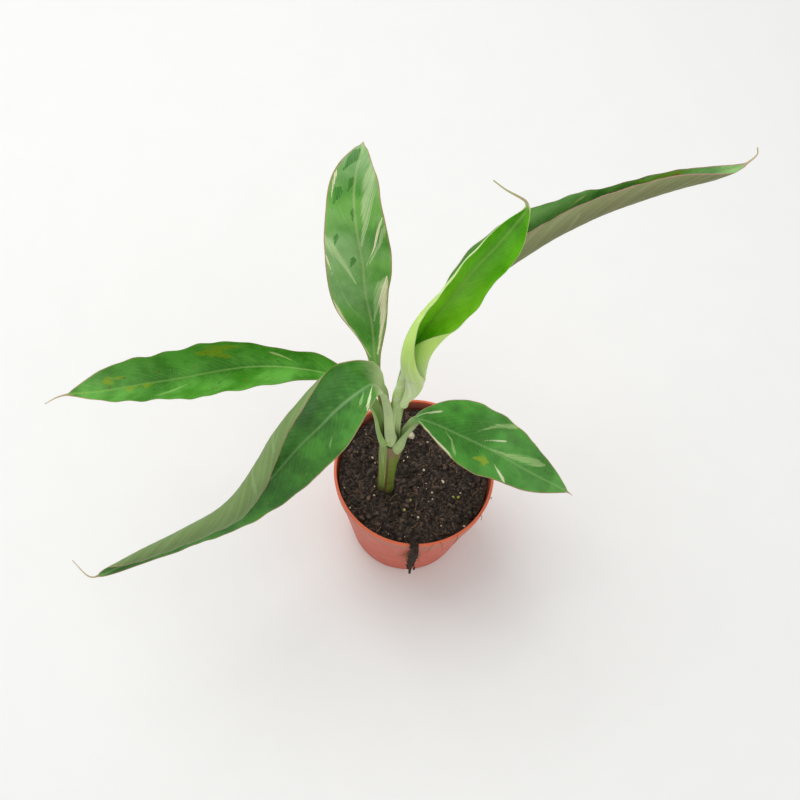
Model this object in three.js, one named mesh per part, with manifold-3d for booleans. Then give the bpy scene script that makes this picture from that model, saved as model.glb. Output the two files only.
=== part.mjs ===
// Potted pink variegated banana: a young plant with six leaves, rooted in a plastic nursery pot.
// Units are millimetres. +Z is up and the pot stands on z = 0 with its axis on the Z axis.
// The plant's front, the side it is usually seen from, faces -Y.
// Each leaf is one closed body: stalk, midrib, blade and the thread at its tip.

import * as THREE from "three";
import Module from "manifold-3d";

const wasm = await Module();
wasm.setup();
const { Manifold, Mesh } = wasm;

// Driving dimensions of the pot.
const POT_HEIGHT = 95;
const RIM_RADIUS = 60;
const BASE_RADIUS = 42.5;
const WALL = 1.6;
const COLLAR_HEIGHT = 11;
const COLLAR_STEP = 1.2;
const FOOT_RECESS = 2;
const FOOT_BOSS = 14;
const DRAIN_HOLES = 6;
const DRAIN_RADIUS = 3.5;
const DRAIN_CIRCLE = 26;

// Driving dimensions of the soil and the stem.
const SOIL_TOP = 86;
const SOIL_RELIEF = 1.6;
const STEM_X = -18;
const STEM_Y = -13.8;
const STEM_BOTTOM = 48;
const STEM_TOP = 166;
const STEM_LEAN = -2.3;
const STEM_RADIUS = 6.2;

// Driving dimensions of the leaves.
const GAP = 0.3;
const BLADE_THICKNESS = 0.8;
const MIDRIB_DEPTH = 1.3;
const MIDRIB_HALF_WIDTH = 3.2;
const STALK_DEPTH = 2.6;
const THREAD_RADIUS = 0.55;
const BLADE_STATIONS = 22;
const STALK_STATIONS = 7;
const THREAD_STATIONS = 4;
const ACROSS = 6;

const GREEN = "#3f8a3f";

// One row per leaf, oldest first.
// points: the midrib's path from inside the stem to the end of the thread.
// stalk, thread: lengths of the two bare ends, in mm along the path.
// stalkHalf: half the width of the stalk.
// face: which way the upper surface looks, at even steps from base to tip.
// The lists below are read at even steps along the blade, from its base to its tip.
// right, left: half widths, measured along the blade's surface.
// rightLift, leftLift: angle at which each half leaves the midrib, in degrees.
// rightCurl, leftCurl: how far each half has turned upwards by its margin, in degrees.
// rightHold: where it is above 1, the turn is kept for the outer part of that half.
const LEAVES = [
  {
    name: "leaf_lower_right",
    points: [
      [-15, -15, 150], [-13, -15, 168], [-12, -13, 179], [-8, -9, 188], [-3, -5, 192],
      [5, -5, 191], [27, -8, 185], [50, -10, 175], [81, -13, 157], [110, -14, 139],
      [115, -15, 136],
    ],
    stalk: 46,
    thread: 5,
    stalkHalf: 3.6,
    face: [[-0.4, 0.2, 0.1], [-0.6, 0, 1], [0, -0.3, 1], [0.1, -0.3, 1], [0.25, -0.25, 1]],
    right: [4, 12, 19, 22, 19, 16.5, 13.5, 8, 1],
    left: [6, 22, 30, 30.5, 29, 25, 19, 11, 1],
    rightLift: [10, 10, 8, 5, 0],
    leftLift: [-10, -10, -10, -8, 0],
    rightCurl: [10, 10, 5, 0, 0],
    leftCurl: [-15, -20, -15, -5, 0],
    rightHold: [1, 1],
  },
  {
    name: "leaf_left",
    points: [
      [-22, -13, 150], [-28, -12, 179], [-31, -9, 195], [-37, -6, 207], [-47, -2, 215],
      [-57, 1, 219], [-68, 2, 221], [-100, 1, 221], [-124, -2, 217], [-147, -7, 210],
      [-171, -13, 202], [-196, -18, 193], [-220, -23, 184], [-252, -27, 171], [-263, -32, 164],
    ],
    stalk: 80,
    thread: 20,
    stalkHalf: 4,
    face: [[1, -0.2, 0.1], [-0.3, 0, 1], [0, -0.3, 1], [0, -0.3, 1], [0, -0.2, 1]],
    right: [4, 14, 16, 28, 30, 27, 23, 14, 1],
    left: [4, 18, 28, 31, 31, 26, 19, 9, 1],
    rightLift: [20, 20, 20, 20, 10],
    leftLift: [20, 20, 20, 20, 10],
    rightCurl: [60, 70, 75, 60, 20],
    leftCurl: [60, 55, 60, 50, 20],
    rightHold: [1, 1],
  },
  {
    name: "leaf_back",
    points: [
      [-22, -11, 155], [-26, -8, 187], [-31, 0, 205], [-38, 13, 218], [-46, 34, 243],
      [-53, 44, 263], [-58, 55, 283], [-64, 65, 300], [-68, 74, 312], [-70, 81, 319],
      [-71, 93, 330], [-70, 105, 336], [-70, 111, 337],
    ],
    stalk: 66,
    thread: 2,
    stalkHalf: 2.2,
    face: [[0, -1, 0.1], [0, -0.8, 0.6], [0, -0.7, 1], [0, -0.6, 1], [0, -0.3, 1]],
    right: [2.4, 5.5, 11, 15.5, 19.5, 20, 18, 14.5, 2],
    left: [2.4, 6, 16, 22.5, 24.5, 22.5, 18.5, 14.5, 3],
    rightLift: [12, 10, 8, 5, 0],
    leftLift: [12, 10, 8, 5, 0],
    rightCurl: [20, 10, 5, 0, 0],
    leftCurl: [20, 10, 5, 0, 0],
    rightHold: [1, 1],
  },
  {
    name: "leaf_front",
    points: [
      [-20, -14, 155], [-22, -14, 184], [-25, -12, 214], [-30, -11, 236], [-37, -13, 247],
      [-46, -22, 248], [-57, -35, 245], [-66, -48, 240], [-76, -60, 233], [-92, -82, 219],
      [-114, -103, 201], [-142, -117, 181], [-171, -128, 159], [-197, -139, 139],
      [-206, -140, 133], [-221, -130, 131],
    ],
    stalk: 96,
    thread: 26,
    stalkHalf: 4.5,
    face: [[0.7, 0.6, 0.1], [0.2, 0.05, 1], [-0.2, -0.5, 1], [0, -0.4, 1], [0, -0.3, 1]],
    right: [17, 33, 38, 38, 34, 28, 21, 12, 1],
    left: [9, 20, 23, 21, 16, 11, 8, 5, 1],
    rightLift: [10, 5, 5, 0, 0, 0, 0, 0, 0],
    leftLift: [-5, -8, -16, -26, -32, -34, -30, -20, 0],
    rightCurl: [0, 145, 190, 232, 280, 290, 280, 220, 40],
    leftCurl: [0, -10, -15, -15, -10, -10, -5, 0, 0],
    rightHold: [2.2, 2, 1.6, 1.2, 1, 1, 1, 1, 1],
  },
  {
    name: "leaf_right",
    points: [
      [-20, -11, 155], [-19, -5, 197], [-18, 3, 230], [-15, 12, 254], [-8, 20, 272],
      [1, 29, 285], [9, 37, 293], [18, 47, 302], [28, 57, 309], [41, 68, 315],
      [55, 80, 319], [69, 90, 323], [87, 103, 325], [111, 118, 326], [136, 134, 324],
      [159, 147, 322], [177, 159, 320], [182, 164, 320], [186, 169, 322], [185, 172, 325],
    ],
    stalk: 98,
    thread: 16,
    stalkHalf: 4,
    face: [[0.4, -1, 0.1], [0, -1, 0.4], [0, -0.5, 1], [0, -0.3, 1], [0, -0.2, 1]],
    right: [5, 18, 25, 27, 27, 25, 22, 16, 1],
    left: [5, 14.5, 26.5, 29.5, 24.5, 15, 10.5, 6.5, 1],
    rightLift: [0, 0],
    leftLift: [30, 28, 25, 27, 30, 30, 25, 20, 10],
    rightCurl: [60, 120, 200, 205, 205, 200, 190, 150, 60],
    leftCurl: [50, 58, 55, 57, 60, 60, 50, 40, 20],
    rightHold: [1, 1],
  },
  {
    name: "leaf_new",
    points: [
      [-20, -13, 155], [-19, -12, 198], [-20, -9, 229], [-18, -5, 256], [-15, 0, 278],
      [-9, 6, 297], [-2, 13, 312], [7, 20, 330], [15, 28, 345], [25, 37, 359],
      [33, 46, 371], [38, 52, 381], [37, 54, 384], [34, 54, 387], [23, 55, 392],
      [15, 57, 396],
    ],
    stalk: 72,
    thread: 28,
    stalkHalf: 4,
    face: [
      [0.4, -1, 0.3], [0.8, -0.5, 0.5], [0.8, -0.5, 0.5], [0.3, -0.7, 0.6],
      [0.1, -0.8, 0.6], [0, -0.8, 0.6], [0, -1, 0.6],
    ],
    right: [18, 34, 35, 33, 28, 23, 20, 17, 1],
    left: [9, 15, 34, 34, 24, 19, 17, 14, 1],
    rightLift: [0, 0],
    leftLift: [0, 0],
    rightCurl: [258, 258, 258, 235, 150, 105, 98, 90, 60],
    leftCurl: [217, 217, 195, 150, 112, 105, 98, 90, 60],
    rightHold: [1, 1],
  },
];

// A smooth curve through evenly spaced values, read at t from 0 to 1.
function along(values, t) {
  const last = values.length - 1;
  const x = THREE.MathUtils.clamp(t, 0, 1) * last;
  const i = Math.min(Math.floor(x), last - 1);
  const f = x - i;
  const p1 = values[i];
  const p2 = values[i + 1];
  const p0 = i > 0 ? values[i - 1] : 2 * p1 - p2;
  const p3 = i + 2 <= last ? values[i + 2] : 2 * p2 - p1;
  const a = 2 * p1;
  const b = p2 - p0;
  const c = 2 * p0 - 5 * p1 + 4 * p2 - p3;
  const d = 3 * p1 - p0 - 3 * p2 + p3;
  return 0.5 * (a + b * f + c * f * f + d * f * f * f);
}

// The midrib's path as a closely sampled list of points with the length run to each.
function pathOf(points) {
  const knots = points.map((p) => new THREE.Vector3(...p));
  const curve = new THREE.CatmullRomCurve3(knots, false, "centripetal");
  const samples = curve.getPoints((points.length - 1) * 16);
  const run = [0];
  for (let i = 1; i < samples.length; i += 1) {
    run.push(run[i - 1] + samples[i].distanceTo(samples[i - 1]));
  }
  const length = run[run.length - 1];
  const at = (s) => {
    const t = THREE.MathUtils.clamp(s, 0, length);
    let i = run.findIndex((r) => r >= t);
    i = Math.max(i, 1);
    const f = (t - run[i - 1]) / (run[i] - run[i - 1]);
    return samples[i - 1].clone().lerp(samples[i], f);
  };
  return { length, at };
}

// Where the sections stand along the path: close together at the blade's two ends.
function stationsOf(leaf, length) {
  const list = [];
  const blade = length - leaf.stalk - leaf.thread;
  for (let i = 0; i < STALK_STATIONS; i += 1) {
    list.push({ s: (leaf.stalk * i) / STALK_STATIONS, part: "stalk", q: 0 });
  }
  for (let i = 0; i <= BLADE_STATIONS; i += 1) {
    const t = i / BLADE_STATIONS;
    const q = 0.5 * (t + 0.5 * (1 - Math.cos(Math.PI * t)));
    list.push({ s: leaf.stalk + blade * q, part: "blade", q });
  }
  for (let i = 1; i <= THREAD_STATIONS; i += 1) {
    const t = i / THREAD_STATIONS;
    list.push({ s: length - leaf.thread * (1 - t), part: "thread", q: 1 });
  }
  return list;
}

// One half of a section, from the midrib out to the margin.
// Each point carries its place across and up, and the direction of the surface there.
function halfSection(half, lift, curl, hold) {
  const list = [{ x: 0, y: 0, beta: lift }];
  const fine = 4;
  let x = 0;
  let y = 0;
  for (let i = 1; i <= ACROSS * fine; i += 1) {
    const v = (i - 0.5) / (ACROSS * fine);
    const beta = lift + curl * v ** hold;
    x += (half * Math.cos(beta)) / (ACROSS * fine);
    y += (half * Math.sin(beta)) / (ACROSS * fine);
    if (i % fine === 0) {
      list.push({ x, y, beta: lift + curl * (i / (ACROSS * fine)) ** hold });
    }
  }
  return list;
}

// The leaf's closed surface. grow thickens it on every side, for cutting a clearance.
function leafGeometry(leaf, grow, only) {
  const path = pathOf(leaf.points);
  const all = stationsOf(leaf, path.length);
  const stations = only ? all.slice(0, only) : all;
  const rad = THREE.MathUtils.degToRad;
  const vertices = [];
  const ring = 2 * (2 * ACROSS + 1);

  for (const station of stations) {
    const { s, q, part } = station;
    const middle = path.at(s);
    const tangent = path.at(s + 1).sub(path.at(s - 1)).normalize();
    const f = s / path.length;
    const face = new THREE.Vector3(
      along(leaf.face.map((v) => v[0]), f),
      along(leaf.face.map((v) => v[1]), f),
      along(leaf.face.map((v) => v[2]), f),
    );
    const normal = face.addScaledVector(tangent, -face.dot(tangent)).normalize();
    const across = new THREE.Vector3().crossVectors(tangent, normal);
    // A clearance also reaches past the two ends.
    if (grow > 0 && station === stations[0]) middle.addScaledVector(tangent, -3 * grow);
    if (grow > 0 && station === stations.at(-1)) middle.addScaledVector(tangent, 3 * grow);

    // Half widths and angles of the two sides at this section.
    const sides = ["right", "left"].map((side) => {
      let half = Math.max(along(leaf[side], q), THREAD_RADIUS);
      if (part === "stalk") half = leaf.stalkHalf;
      if (part === "thread") half = THREAD_RADIUS;
      const lift = rad(along(leaf[side + "Lift"], q));
      const curl = rad(along(leaf[side + "Curl"], q));
      const bare = part === "stalk" || part === "thread";
      const turned = bare ? Math.min(Math.abs(curl), rad(70)) * Math.sign(curl) : curl;
      const hold = side === "right" ? along(leaf.rightHold, q) : 1;
      return halfSection(half + grow, lift, turned, hold);
    });

    const depthAt = (v, half) => {
      if (part === "thread") return 2 * THREAD_RADIUS;
      if (part === "stalk") return BLADE_THICKNESS + STALK_DEPTH * (1 - v * v);
      const reach = Math.min(1, (v * half) / MIDRIB_HALF_WIDTH);
      const fade = THREE.MathUtils.lerp(1, 0.25, q);
      const stalkward = THREE.MathUtils.smoothstep(q, 0, 0.12);
      const depth = THREE.MathUtils.lerp(STALK_DEPTH, MIDRIB_DEPTH * fade, stalkward);
      return BLADE_THICKNESS + depth * (1 - reach * reach);
    };

    const upper = [];
    const lower = [];
    const place = (sign, list, i) => {
      const { x, y, beta } = list[i];
      const point = middle.clone();
      point.addScaledVector(across, sign * x).addScaledVector(normal, y);
      const out = normal.clone().multiplyScalar(Math.cos(beta));
      out.addScaledVector(across, -sign * Math.sin(beta));
      if (i === 0) out.copy(normal);
      const half = Math.hypot(list[list.length - 1].x, list[list.length - 1].y);
      const depth = depthAt(i / ACROSS, half);
      upper.push(point.clone().addScaledVector(out, grow));
      lower.push(point.clone().addScaledVector(out, -depth - grow));
    };
    for (let i = ACROSS; i >= 1; i -= 1) place(-1, sides[1], i);
    for (let i = 0; i <= ACROSS; i += 1) place(1, sides[0], i);
    vertices.push(...upper, ...lower.reverse());
  }

  // Skin between neighbouring sections, split alike on both faces.
  const index = [];
  const wide = 2 * ACROSS + 1;
  for (let k = 0; k + 1 < stations.length; k += 1) {
    for (let j = 0; j < ring; j += 1) {
      const next = (j + 1) % ring;
      const a = k * ring + j;
      const b = k * ring + next;
      const c = (k + 1) * ring + next;
      const d = (k + 1) * ring + j;
      if (j < wide) index.push(a, b, c, a, c, d);
      else index.push(a, b, d, b, c, d);
    }
  }
  // Flat ends.
  const ends = [0, (stations.length - 1) * ring];
  ends.forEach((start, e) => {
    for (let j = 0; j + 1 < wide; j += 1) {
      const a = start + j;
      const b = start + j + 1;
      const c = start + ring - 2 - j;
      const d = start + ring - 1 - j;
      if (e === 0) index.push(a, c, b, a, d, c);
      else index.push(a, b, c, a, c, d);
    }
  });

  const geometry = new THREE.BufferGeometry().setFromPoints(vertices);
  geometry.setIndex(index);
  return geometry;
}

// three.js geometry to a manifold-3d solid, turned inside out if its faces point inwards.
function solidOf(geometry) {
  const position = geometry.getAttribute("position");
  const triVerts = new Uint32Array(geometry.index.array);
  const vertProperties = new Float32Array(position.array);
  let solid = new Manifold(new Mesh({ numProp: 3, vertProperties, triVerts }));
  if (solid.volume() < 0) {
    for (let i = 0; i < triVerts.length; i += 3) {
      [triVerts[i + 1], triVerts[i + 2]] = [triVerts[i + 2], triVerts[i + 1]];
    }
    solid = new Manifold(new Mesh({ numProp: 3, vertProperties, triVerts }));
  }
  return solid;
}

// The largest body of a solid that a cut may have split.
function largestOf(solid) {
  const bodies = solid.decompose();
  return bodies.reduce((best, body) => (body.volume() > best.volume() ? body : best));
}

function geometryOf(solid) {
  const mesh = solid.getMesh();
  const geometry = new THREE.BufferGeometry();
  const stride = mesh.numProp;
  const flat = new Float32Array((mesh.vertProperties.length / stride) * 3);
  for (let i = 0; i < flat.length / 3; i += 1) {
    flat[3 * i] = mesh.vertProperties[stride * i];
    flat[3 * i + 1] = mesh.vertProperties[stride * i + 1];
    flat[3 * i + 2] = mesh.vertProperties[stride * i + 2];
  }
  geometry.setAttribute("position", new THREE.BufferAttribute(flat, 3));
  geometry.setIndex(new THREE.BufferAttribute(new Uint32Array(mesh.triVerts), 1));
  geometry.computeVertexNormals();
  return geometry;
}

// A closed skin over rings of points, with a point at the middle of each end.
function loftGeometry(rings, bottom, top) {
  const count = rings[0].length;
  const vertices = rings.flat();
  const index = [];
  for (let k = 0; k + 1 < rings.length; k += 1) {
    for (let j = 0; j < count; j += 1) {
      const a = k * count + j;
      const b = k * count + ((j + 1) % count);
      index.push(a, b, b + count, a, b + count, a + count);
    }
  }
  vertices.push(bottom, top);
  const low = vertices.length - 2;
  const high = vertices.length - 1;
  const last = (rings.length - 1) * count;
  for (let j = 0; j < count; j += 1) {
    const next = (j + 1) % count;
    index.push(low, next, j);
    index.push(high, last + j, last + next);
  }
  const geometry = new THREE.BufferGeometry().setFromPoints(vertices);
  geometry.setIndex(index);
  return geometry;
}

// Pot: one turned profile, up the outside and down the inside, with round drain holes.
function potSolid() {
  const shoulder = POT_HEIGHT - COLLAR_HEIGHT;
  const slope = (RIM_RADIUS - COLLAR_STEP - 1 - BASE_RADIUS) / shoulder;
  const bodyTop = BASE_RADIUS + slope * shoulder;
  const collarLow = bodyTop + COLLAR_STEP;
  const innerTop = RIM_RADIUS - WALL - 0.4;
  const floor = FOOT_RECESS + WALL;
  const profile = [
    [0, 0],
    [FOOT_BOSS, 0],
    [FOOT_BOSS + 1.4, FOOT_RECESS],
    [BASE_RADIUS - 6, FOOT_RECESS],
    [BASE_RADIUS - 4.6, 0],
    [BASE_RADIUS - 0.6, 0],
    [BASE_RADIUS, 0.6],
    [bodyTop, shoulder],
    [collarLow, shoulder + 0.6],
    [RIM_RADIUS - 0.5, POT_HEIGHT - 3],
    [RIM_RADIUS, POT_HEIGHT - 2.4],
    [RIM_RADIUS, POT_HEIGHT - 0.5],
    [RIM_RADIUS - 0.5, POT_HEIGHT],
    [innerTop + 0.3, POT_HEIGHT],
    [innerTop, POT_HEIGHT - 0.4],
    [collarLow - WALL, shoulder],
    [bodyTop - WALL, shoulder - 2],
    [BASE_RADIUS - WALL, floor + 1],
    [BASE_RADIUS - WALL - 1, floor],
    [0, floor],
  ].map((p) => new THREE.Vector2(...p));
  const lathe = new THREE.LatheGeometry(profile, 64);
  const position = lathe.getAttribute("position");
  const rows = profile.length;
  const segments = 64;
  // The seam and the two axis points are shared, so the skin closes.
  const vertices = [];
  const index = [];
  const id = (j, i) => {
    if (i === 0) return 0;
    if (i === rows - 1) return 1;
    return 2 + (j % segments) * (rows - 2) + (i - 1);
  };
  vertices.push(new THREE.Vector3(0, 0, 0), new THREE.Vector3(0, 0, floor));
  for (let j = 0; j < segments; j += 1) {
    for (let i = 1; i < rows - 1; i += 1) {
      const k = j * rows + i;
      vertices.push(new THREE.Vector3(position.getX(k), position.getZ(k), position.getY(k)));
    }
  }
  for (let j = 0; j < segments; j += 1) {
    for (let i = 0; i < rows - 1; i += 1) {
      const a = id(j, i);
      const b = id(j + 1, i);
      const c = id(j + 1, i + 1);
      const d = id(j, i + 1);
      if (a !== b) index.push(a, b, c);
      if (c !== d) index.push(a, c, d);
    }
  }
  const geometry = new THREE.BufferGeometry().setFromPoints(vertices);
  geometry.setIndex(index);
  let solid = solidOf(geometry);
  for (let k = 0; k < DRAIN_HOLES; k += 1) {
    const angle = (2 * Math.PI * (k + 0.5)) / DRAIN_HOLES;
    const drill = Manifold.cylinder(10, DRAIN_RADIUS, DRAIN_RADIUS, 20);
    const x = DRAIN_CIRCLE * Math.cos(angle);
    const y = DRAIN_CIRCLE * Math.sin(angle);
    solid = solid.subtract(drill.translate([x, y, -3]));
  }
  return solid;
}

// Stem: sheaths wrapped round one another, so its outline is an uneven oval.
function stemRing(z, grow) {
  const ring = [];
  const t = (z - STEM_BOTTOM) / (STEM_TOP - STEM_BOTTOM);
  const swell = along([0.9, 1.12, 1.06, 0.98, 0.98, 1.02, 0.86], t);
  for (let j = 0; j < 28; j += 1) {
    const a = (2 * Math.PI * j) / 28;
    const lap = 0.45 * Math.cos(a - 3.4) + 0.35 * Math.cos(2 * a + 0.4);
    const r = STEM_RADIUS * swell + lap + grow;
    ring.push(new THREE.Vector3(
      STEM_X + STEM_LEAN * t + 1.12 * r * Math.cos(a),
      STEM_Y + 0.96 * r * Math.sin(a),
      z,
    ));
  }
  return ring;
}

function stemSolid(grow) {
  const rings = [];
  const levels = 12;
  const low = STEM_BOTTOM - grow;
  const high = STEM_TOP + grow;
  for (let k = 0; k <= levels; k += 1) {
    rings.push(stemRing(low + ((high - low) * k) / levels, grow));
  }
  const bottom = new THREE.Vector3(STEM_X, STEM_Y, low - 1.5);
  const top = new THREE.Vector3(STEM_X + STEM_LEAN, STEM_Y, high + 2);
  return solidOf(loftGeometry(rings, bottom, top));
}

// Height of the soil's uneven top.
function soilHeight(x, y) {
  const r = Math.hypot(x, y) / RIM_RADIUS;
  const waves = Math.sin(x * 0.31 + 1.3) * Math.cos(y * 0.27 - 0.4);
  const lumps = Math.sin(x * 0.83 - y * 0.57 + 2) * Math.cos(y * 0.91 + x * 0.36);
  const mound = 1.6 * Math.exp(-((x - STEM_X) ** 2 + (y - STEM_Y) ** 2) / 220);
  return SOIL_TOP + SOIL_RELIEF * (0.6 * waves + 0.4 * lumps) * (1 - 0.5 * r) + mound;
}

// Soil: fills the pot with a small clearance and has a plain hole for the stem.
function soilSolid() {
  const shoulder = POT_HEIGHT - COLLAR_HEIGHT;
  const slope = (RIM_RADIUS - COLLAR_STEP - 1 - BASE_RADIUS) / shoulder;
  const bodyTop = BASE_RADIUS + slope * shoulder;
  const floor = FOOT_RECESS + WALL + GAP;
  const sectors = 48;
  const outline = [
    [BASE_RADIUS - WALL - 1 - GAP, floor],
    [BASE_RADIUS - WALL - GAP, floor + 1],
    [bodyTop - WALL - GAP - 0.1, shoulder - 2.4],
  ];
  const ringAt = (r, z) => {
    const ring = [];
    for (let j = 0; j < sectors; j += 1) {
      const a = (2 * Math.PI * j) / sectors;
      const x = r * Math.cos(a);
      const y = r * Math.sin(a);
      ring.push(new THREE.Vector3(x, y, z === null ? soilHeight(x, y) : z));
    }
    return ring;
  };
  const rings = outline.map(([r, z]) => ringAt(r, z));
  const edge = bodyTop - WALL - GAP - 0.1;
  for (const f of [1, 0.93, 0.84, 0.74, 0.64, 0.54, 0.44, 0.34, 0.24, 0.14, 0.06]) {
    rings.push(ringAt(edge * f, null));
  }
  const bottom = new THREE.Vector3(0, 0, floor);
  const top = new THREE.Vector3(0, 0, soilHeight(0, 0));
  const body = solidOf(loftGeometry(rings, bottom, top));
  return largestOf(body.subtract(stemSolid(GAP)));
}

// Roots and soil that have crept over the front of the rim and hang down outside the pot.
function rootSolid() {
  const points = [
    [7.1, -52, 89.5], [8, -54.2, 93.4], [8.6, -56.6, 96.4], [9.3, -58.7, 97.4],
    [10.1, -61, 96.6], [10.7, -62.6, 92.5], [10.9, -62.8, 87], [10.5, -62.2, 80],
    [9.8, -61.8, 72], [9.6, -61.6, 64], [10, -61.6, 55], [10.4, -61.8, 46],
  ];
  const curve = new THREE.CatmullRomCurve3(
    points.map((p) => new THREE.Vector3(...p)), false, "centripetal",
  );
  const rings = [];
  const steps = 26;
  for (let k = 0; k <= steps; k += 1) {
    const u = k / steps;
    const middle = curve.getPoint(u);
    const tangent = curve.getTangent(u);
    const side = new THREE.Vector3(1, 0, 0);
    side.addScaledVector(tangent, -side.dot(tangent)).normalize();
    const up = new THREE.Vector3().crossVectors(tangent, side);
    const wide = along([2.2, 2.6, 3, 2.8, 3, 2.4, 2.6, 1.8, 1.1, 0.8], u);
    const deep = along([1, 1, 1.2, 1.4, 1.5, 1.4, 1.3, 1.1, 0.9, 0.7], u);
    const ring = [];
    for (let j = 0; j < 10; j += 1) {
      const a = (2 * Math.PI * j) / 10;
      const rough = 1 + 0.16 * Math.sin(5.3 * j + 2.1 * k);
      ring.push(middle.clone()
        .addScaledVector(side, wide * rough * Math.cos(a))
        .addScaledVector(up, deep * rough * Math.sin(a)));
    }
    rings.push(ring);
  }
  const solid = solidOf(loftGeometry(rings, curve.getPoint(0), curve.getPoint(1)));
  return solid;
}

// Cut order: a newer leaf comes out of the middle of an older one and keeps its shape.
const stem = stemSolid(0);
const grownStem = stemSolid(GAP);
const reach = STALK_STATIONS + 6;
const leafSolids = new Map();
const tools = [grownStem];
for (const leaf of [...LEAVES].reverse()) {
  let solid = solidOf(leafGeometry(leaf, 0, 0));
  for (const tool of tools) solid = solid.subtract(tool);
  leafSolids.set(leaf.name, largestOf(solid));
  tools.push(solidOf(leafGeometry(leaf, GAP, reach)));
}

const soil = soilSolid();
const pot = potSolid();
let roots = rootSolid();

const group = new THREE.Group();
group.name = "potted_variegated_banana";

function addNode(name, solid, colour, roughness) {
  const material = new THREE.MeshStandardMaterial({ color: colour, roughness });
  const mesh = new THREE.Mesh(geometryOf(solid), material);
  mesh.name = name;
  group.add(mesh);
}

addNode("pot", pot, "#c4583a", 0.55);
addNode("soil", soil, "#2a201a", 0.95);
addNode("root_strand", roots, "#33251c", 0.95);
addNode("pseudostem", stem, "#7d9a4a", 0.5);
for (const leaf of LEAVES) {
  addNode(leaf.name, leafSolids.get(leaf.name), GREEN, 0.45);
}

export default group;
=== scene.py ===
# Potted pink variegated banana: the looks of the part, laid out as a Blender add-on.
# Sizes below are millimetres unless a comment says otherwise. MM turns them to metres.
import math

import bmesh
import bpy
import numpy as np
from bpy.props import FloatProperty, FloatVectorProperty, IntProperty, PointerProperty
from mathutils import Matrix


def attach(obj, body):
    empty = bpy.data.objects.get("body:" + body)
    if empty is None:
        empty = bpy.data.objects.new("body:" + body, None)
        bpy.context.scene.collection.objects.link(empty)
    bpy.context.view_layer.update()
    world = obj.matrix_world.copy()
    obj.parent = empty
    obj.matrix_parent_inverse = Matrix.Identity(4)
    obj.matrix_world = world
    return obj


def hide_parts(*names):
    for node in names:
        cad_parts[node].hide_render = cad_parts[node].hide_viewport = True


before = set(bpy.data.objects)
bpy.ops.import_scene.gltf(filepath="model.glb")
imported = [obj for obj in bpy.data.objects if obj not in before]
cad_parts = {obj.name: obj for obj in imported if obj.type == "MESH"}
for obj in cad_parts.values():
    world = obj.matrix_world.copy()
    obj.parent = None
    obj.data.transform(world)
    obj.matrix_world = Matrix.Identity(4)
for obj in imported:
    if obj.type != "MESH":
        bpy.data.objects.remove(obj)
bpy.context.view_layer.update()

bl_info = {
    "name": "Potted variegated banana",
    "version": (1, 0, 0),
    "blender": (4, 5, 0),
    "location": "3D View > Sidebar > Banana",
    "description": "Leaves, stem, soil and pot of a young variegated banana, and a plain stage",
    "category": "Object",
}

MM = 0.001

# Pot
POT_HEIGHT = 95.0
RIM_RADIUS = 60.0
BASE_RADIUS = 42.5
WALL = 1.6
COLLAR_HEIGHT = 11.0
COLLAR_STEP = 1.2
FOOT_RECESS = 2.0
FOOT_BOSS = 14.0
FLOOR_INNER = 18.0
FLOOR_OUTER = 34.0
FLOOR_TOP = FOOT_RECESS + WALL
SHOULDER = POT_HEIGHT - COLLAR_HEIGHT
BODY_TOP = RIM_RADIUS - COLLAR_STEP - 1.0
DRAIN_HOLES = 6
DRAIN_RADIUS = 3.5
DRAIN_CIRCLE = 26.0

# Soil and stem
SOIL_TOP = 86.0
SOIL_RELIEF = 1.6
SOIL_EDGE = BODY_TOP - WALL - 0.4
STEM_MOUND = 1.6
STEM_CLEARING = 8.5
# Gap between the stem and the soil's hole.
SOIL_GAP = 0.5
STEM_X = -18.0
STEM_Y = -13.8
STEM_BOTTOM = 48.0
STEM_TOP = 166.0
STEM_LEAN = -2.3
STEM_RADIUS = 6.2
STEM_SLIM = 1.5
# Where the old sheath's edge stands round the stem and how far it wraps, in degrees.
OLD_SHEATH_EDGE = 251.0
OLD_SHEATH_WRAP = 292.0

# Root over the rim: its angle round the pot from the front, in radians.
ROOT_TURN = 0.168

# Leaves
MIDRIB_DEPTH = 1.3
MIDRIB_HALF_WIDTH = 3.2
GROOVE_DEPTH = 0.45
GROOVE_HALF_WIDTH = 1.1
THIN_VEIN_SPACING = 1.1
THREAD_RADIUS = 0.42
THREAD_CURL = 70.0
STALK_DEPTH = 2.6
STALK_WALL = 0.35
STALK_CURL = 62.0
STALK_LIFT = 8.0
# The foot of a stalk: its share of the full size, and the length over which it reaches that.
FOOT_SHARE = 0.45
FOOT_LENGTH = 18.0
# The flare over the foot: more width and more curl, full at 16 mm and gone at 36 mm.
STALK_FLARE = 2.4
FLARE_CURL = 45.0
FLARE_FULL = 16.0
FLARE_FADES = 12.0
FLARE_END = 36.0
STALK_STATIONS = 36
BLADE_STATIONS = 216
THREAD_STATIONS = 14
HALF_COLUMNS = 40

# Camera: the frame's width, and how far right of and below its middle the rim's middle sits.
SENSOR_WIDTH = 36.0
FRAME_PIXELS = 800
RIM_RIGHT_PIXELS = 14.2
RIM_DOWN_PIXELS = 71.0

# Settings that many nodes share.
SMOOTH = {"interpolation_type": "SMOOTHSTEP"}
MULTIPLY = {"operation": "MULTIPLY"}
MULTIPLY_ADD = {"operation": "MULTIPLY_ADD"}
SCALE = {"operation": "SCALE"}
RGBA = {"data_type": "RGBA"}

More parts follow.
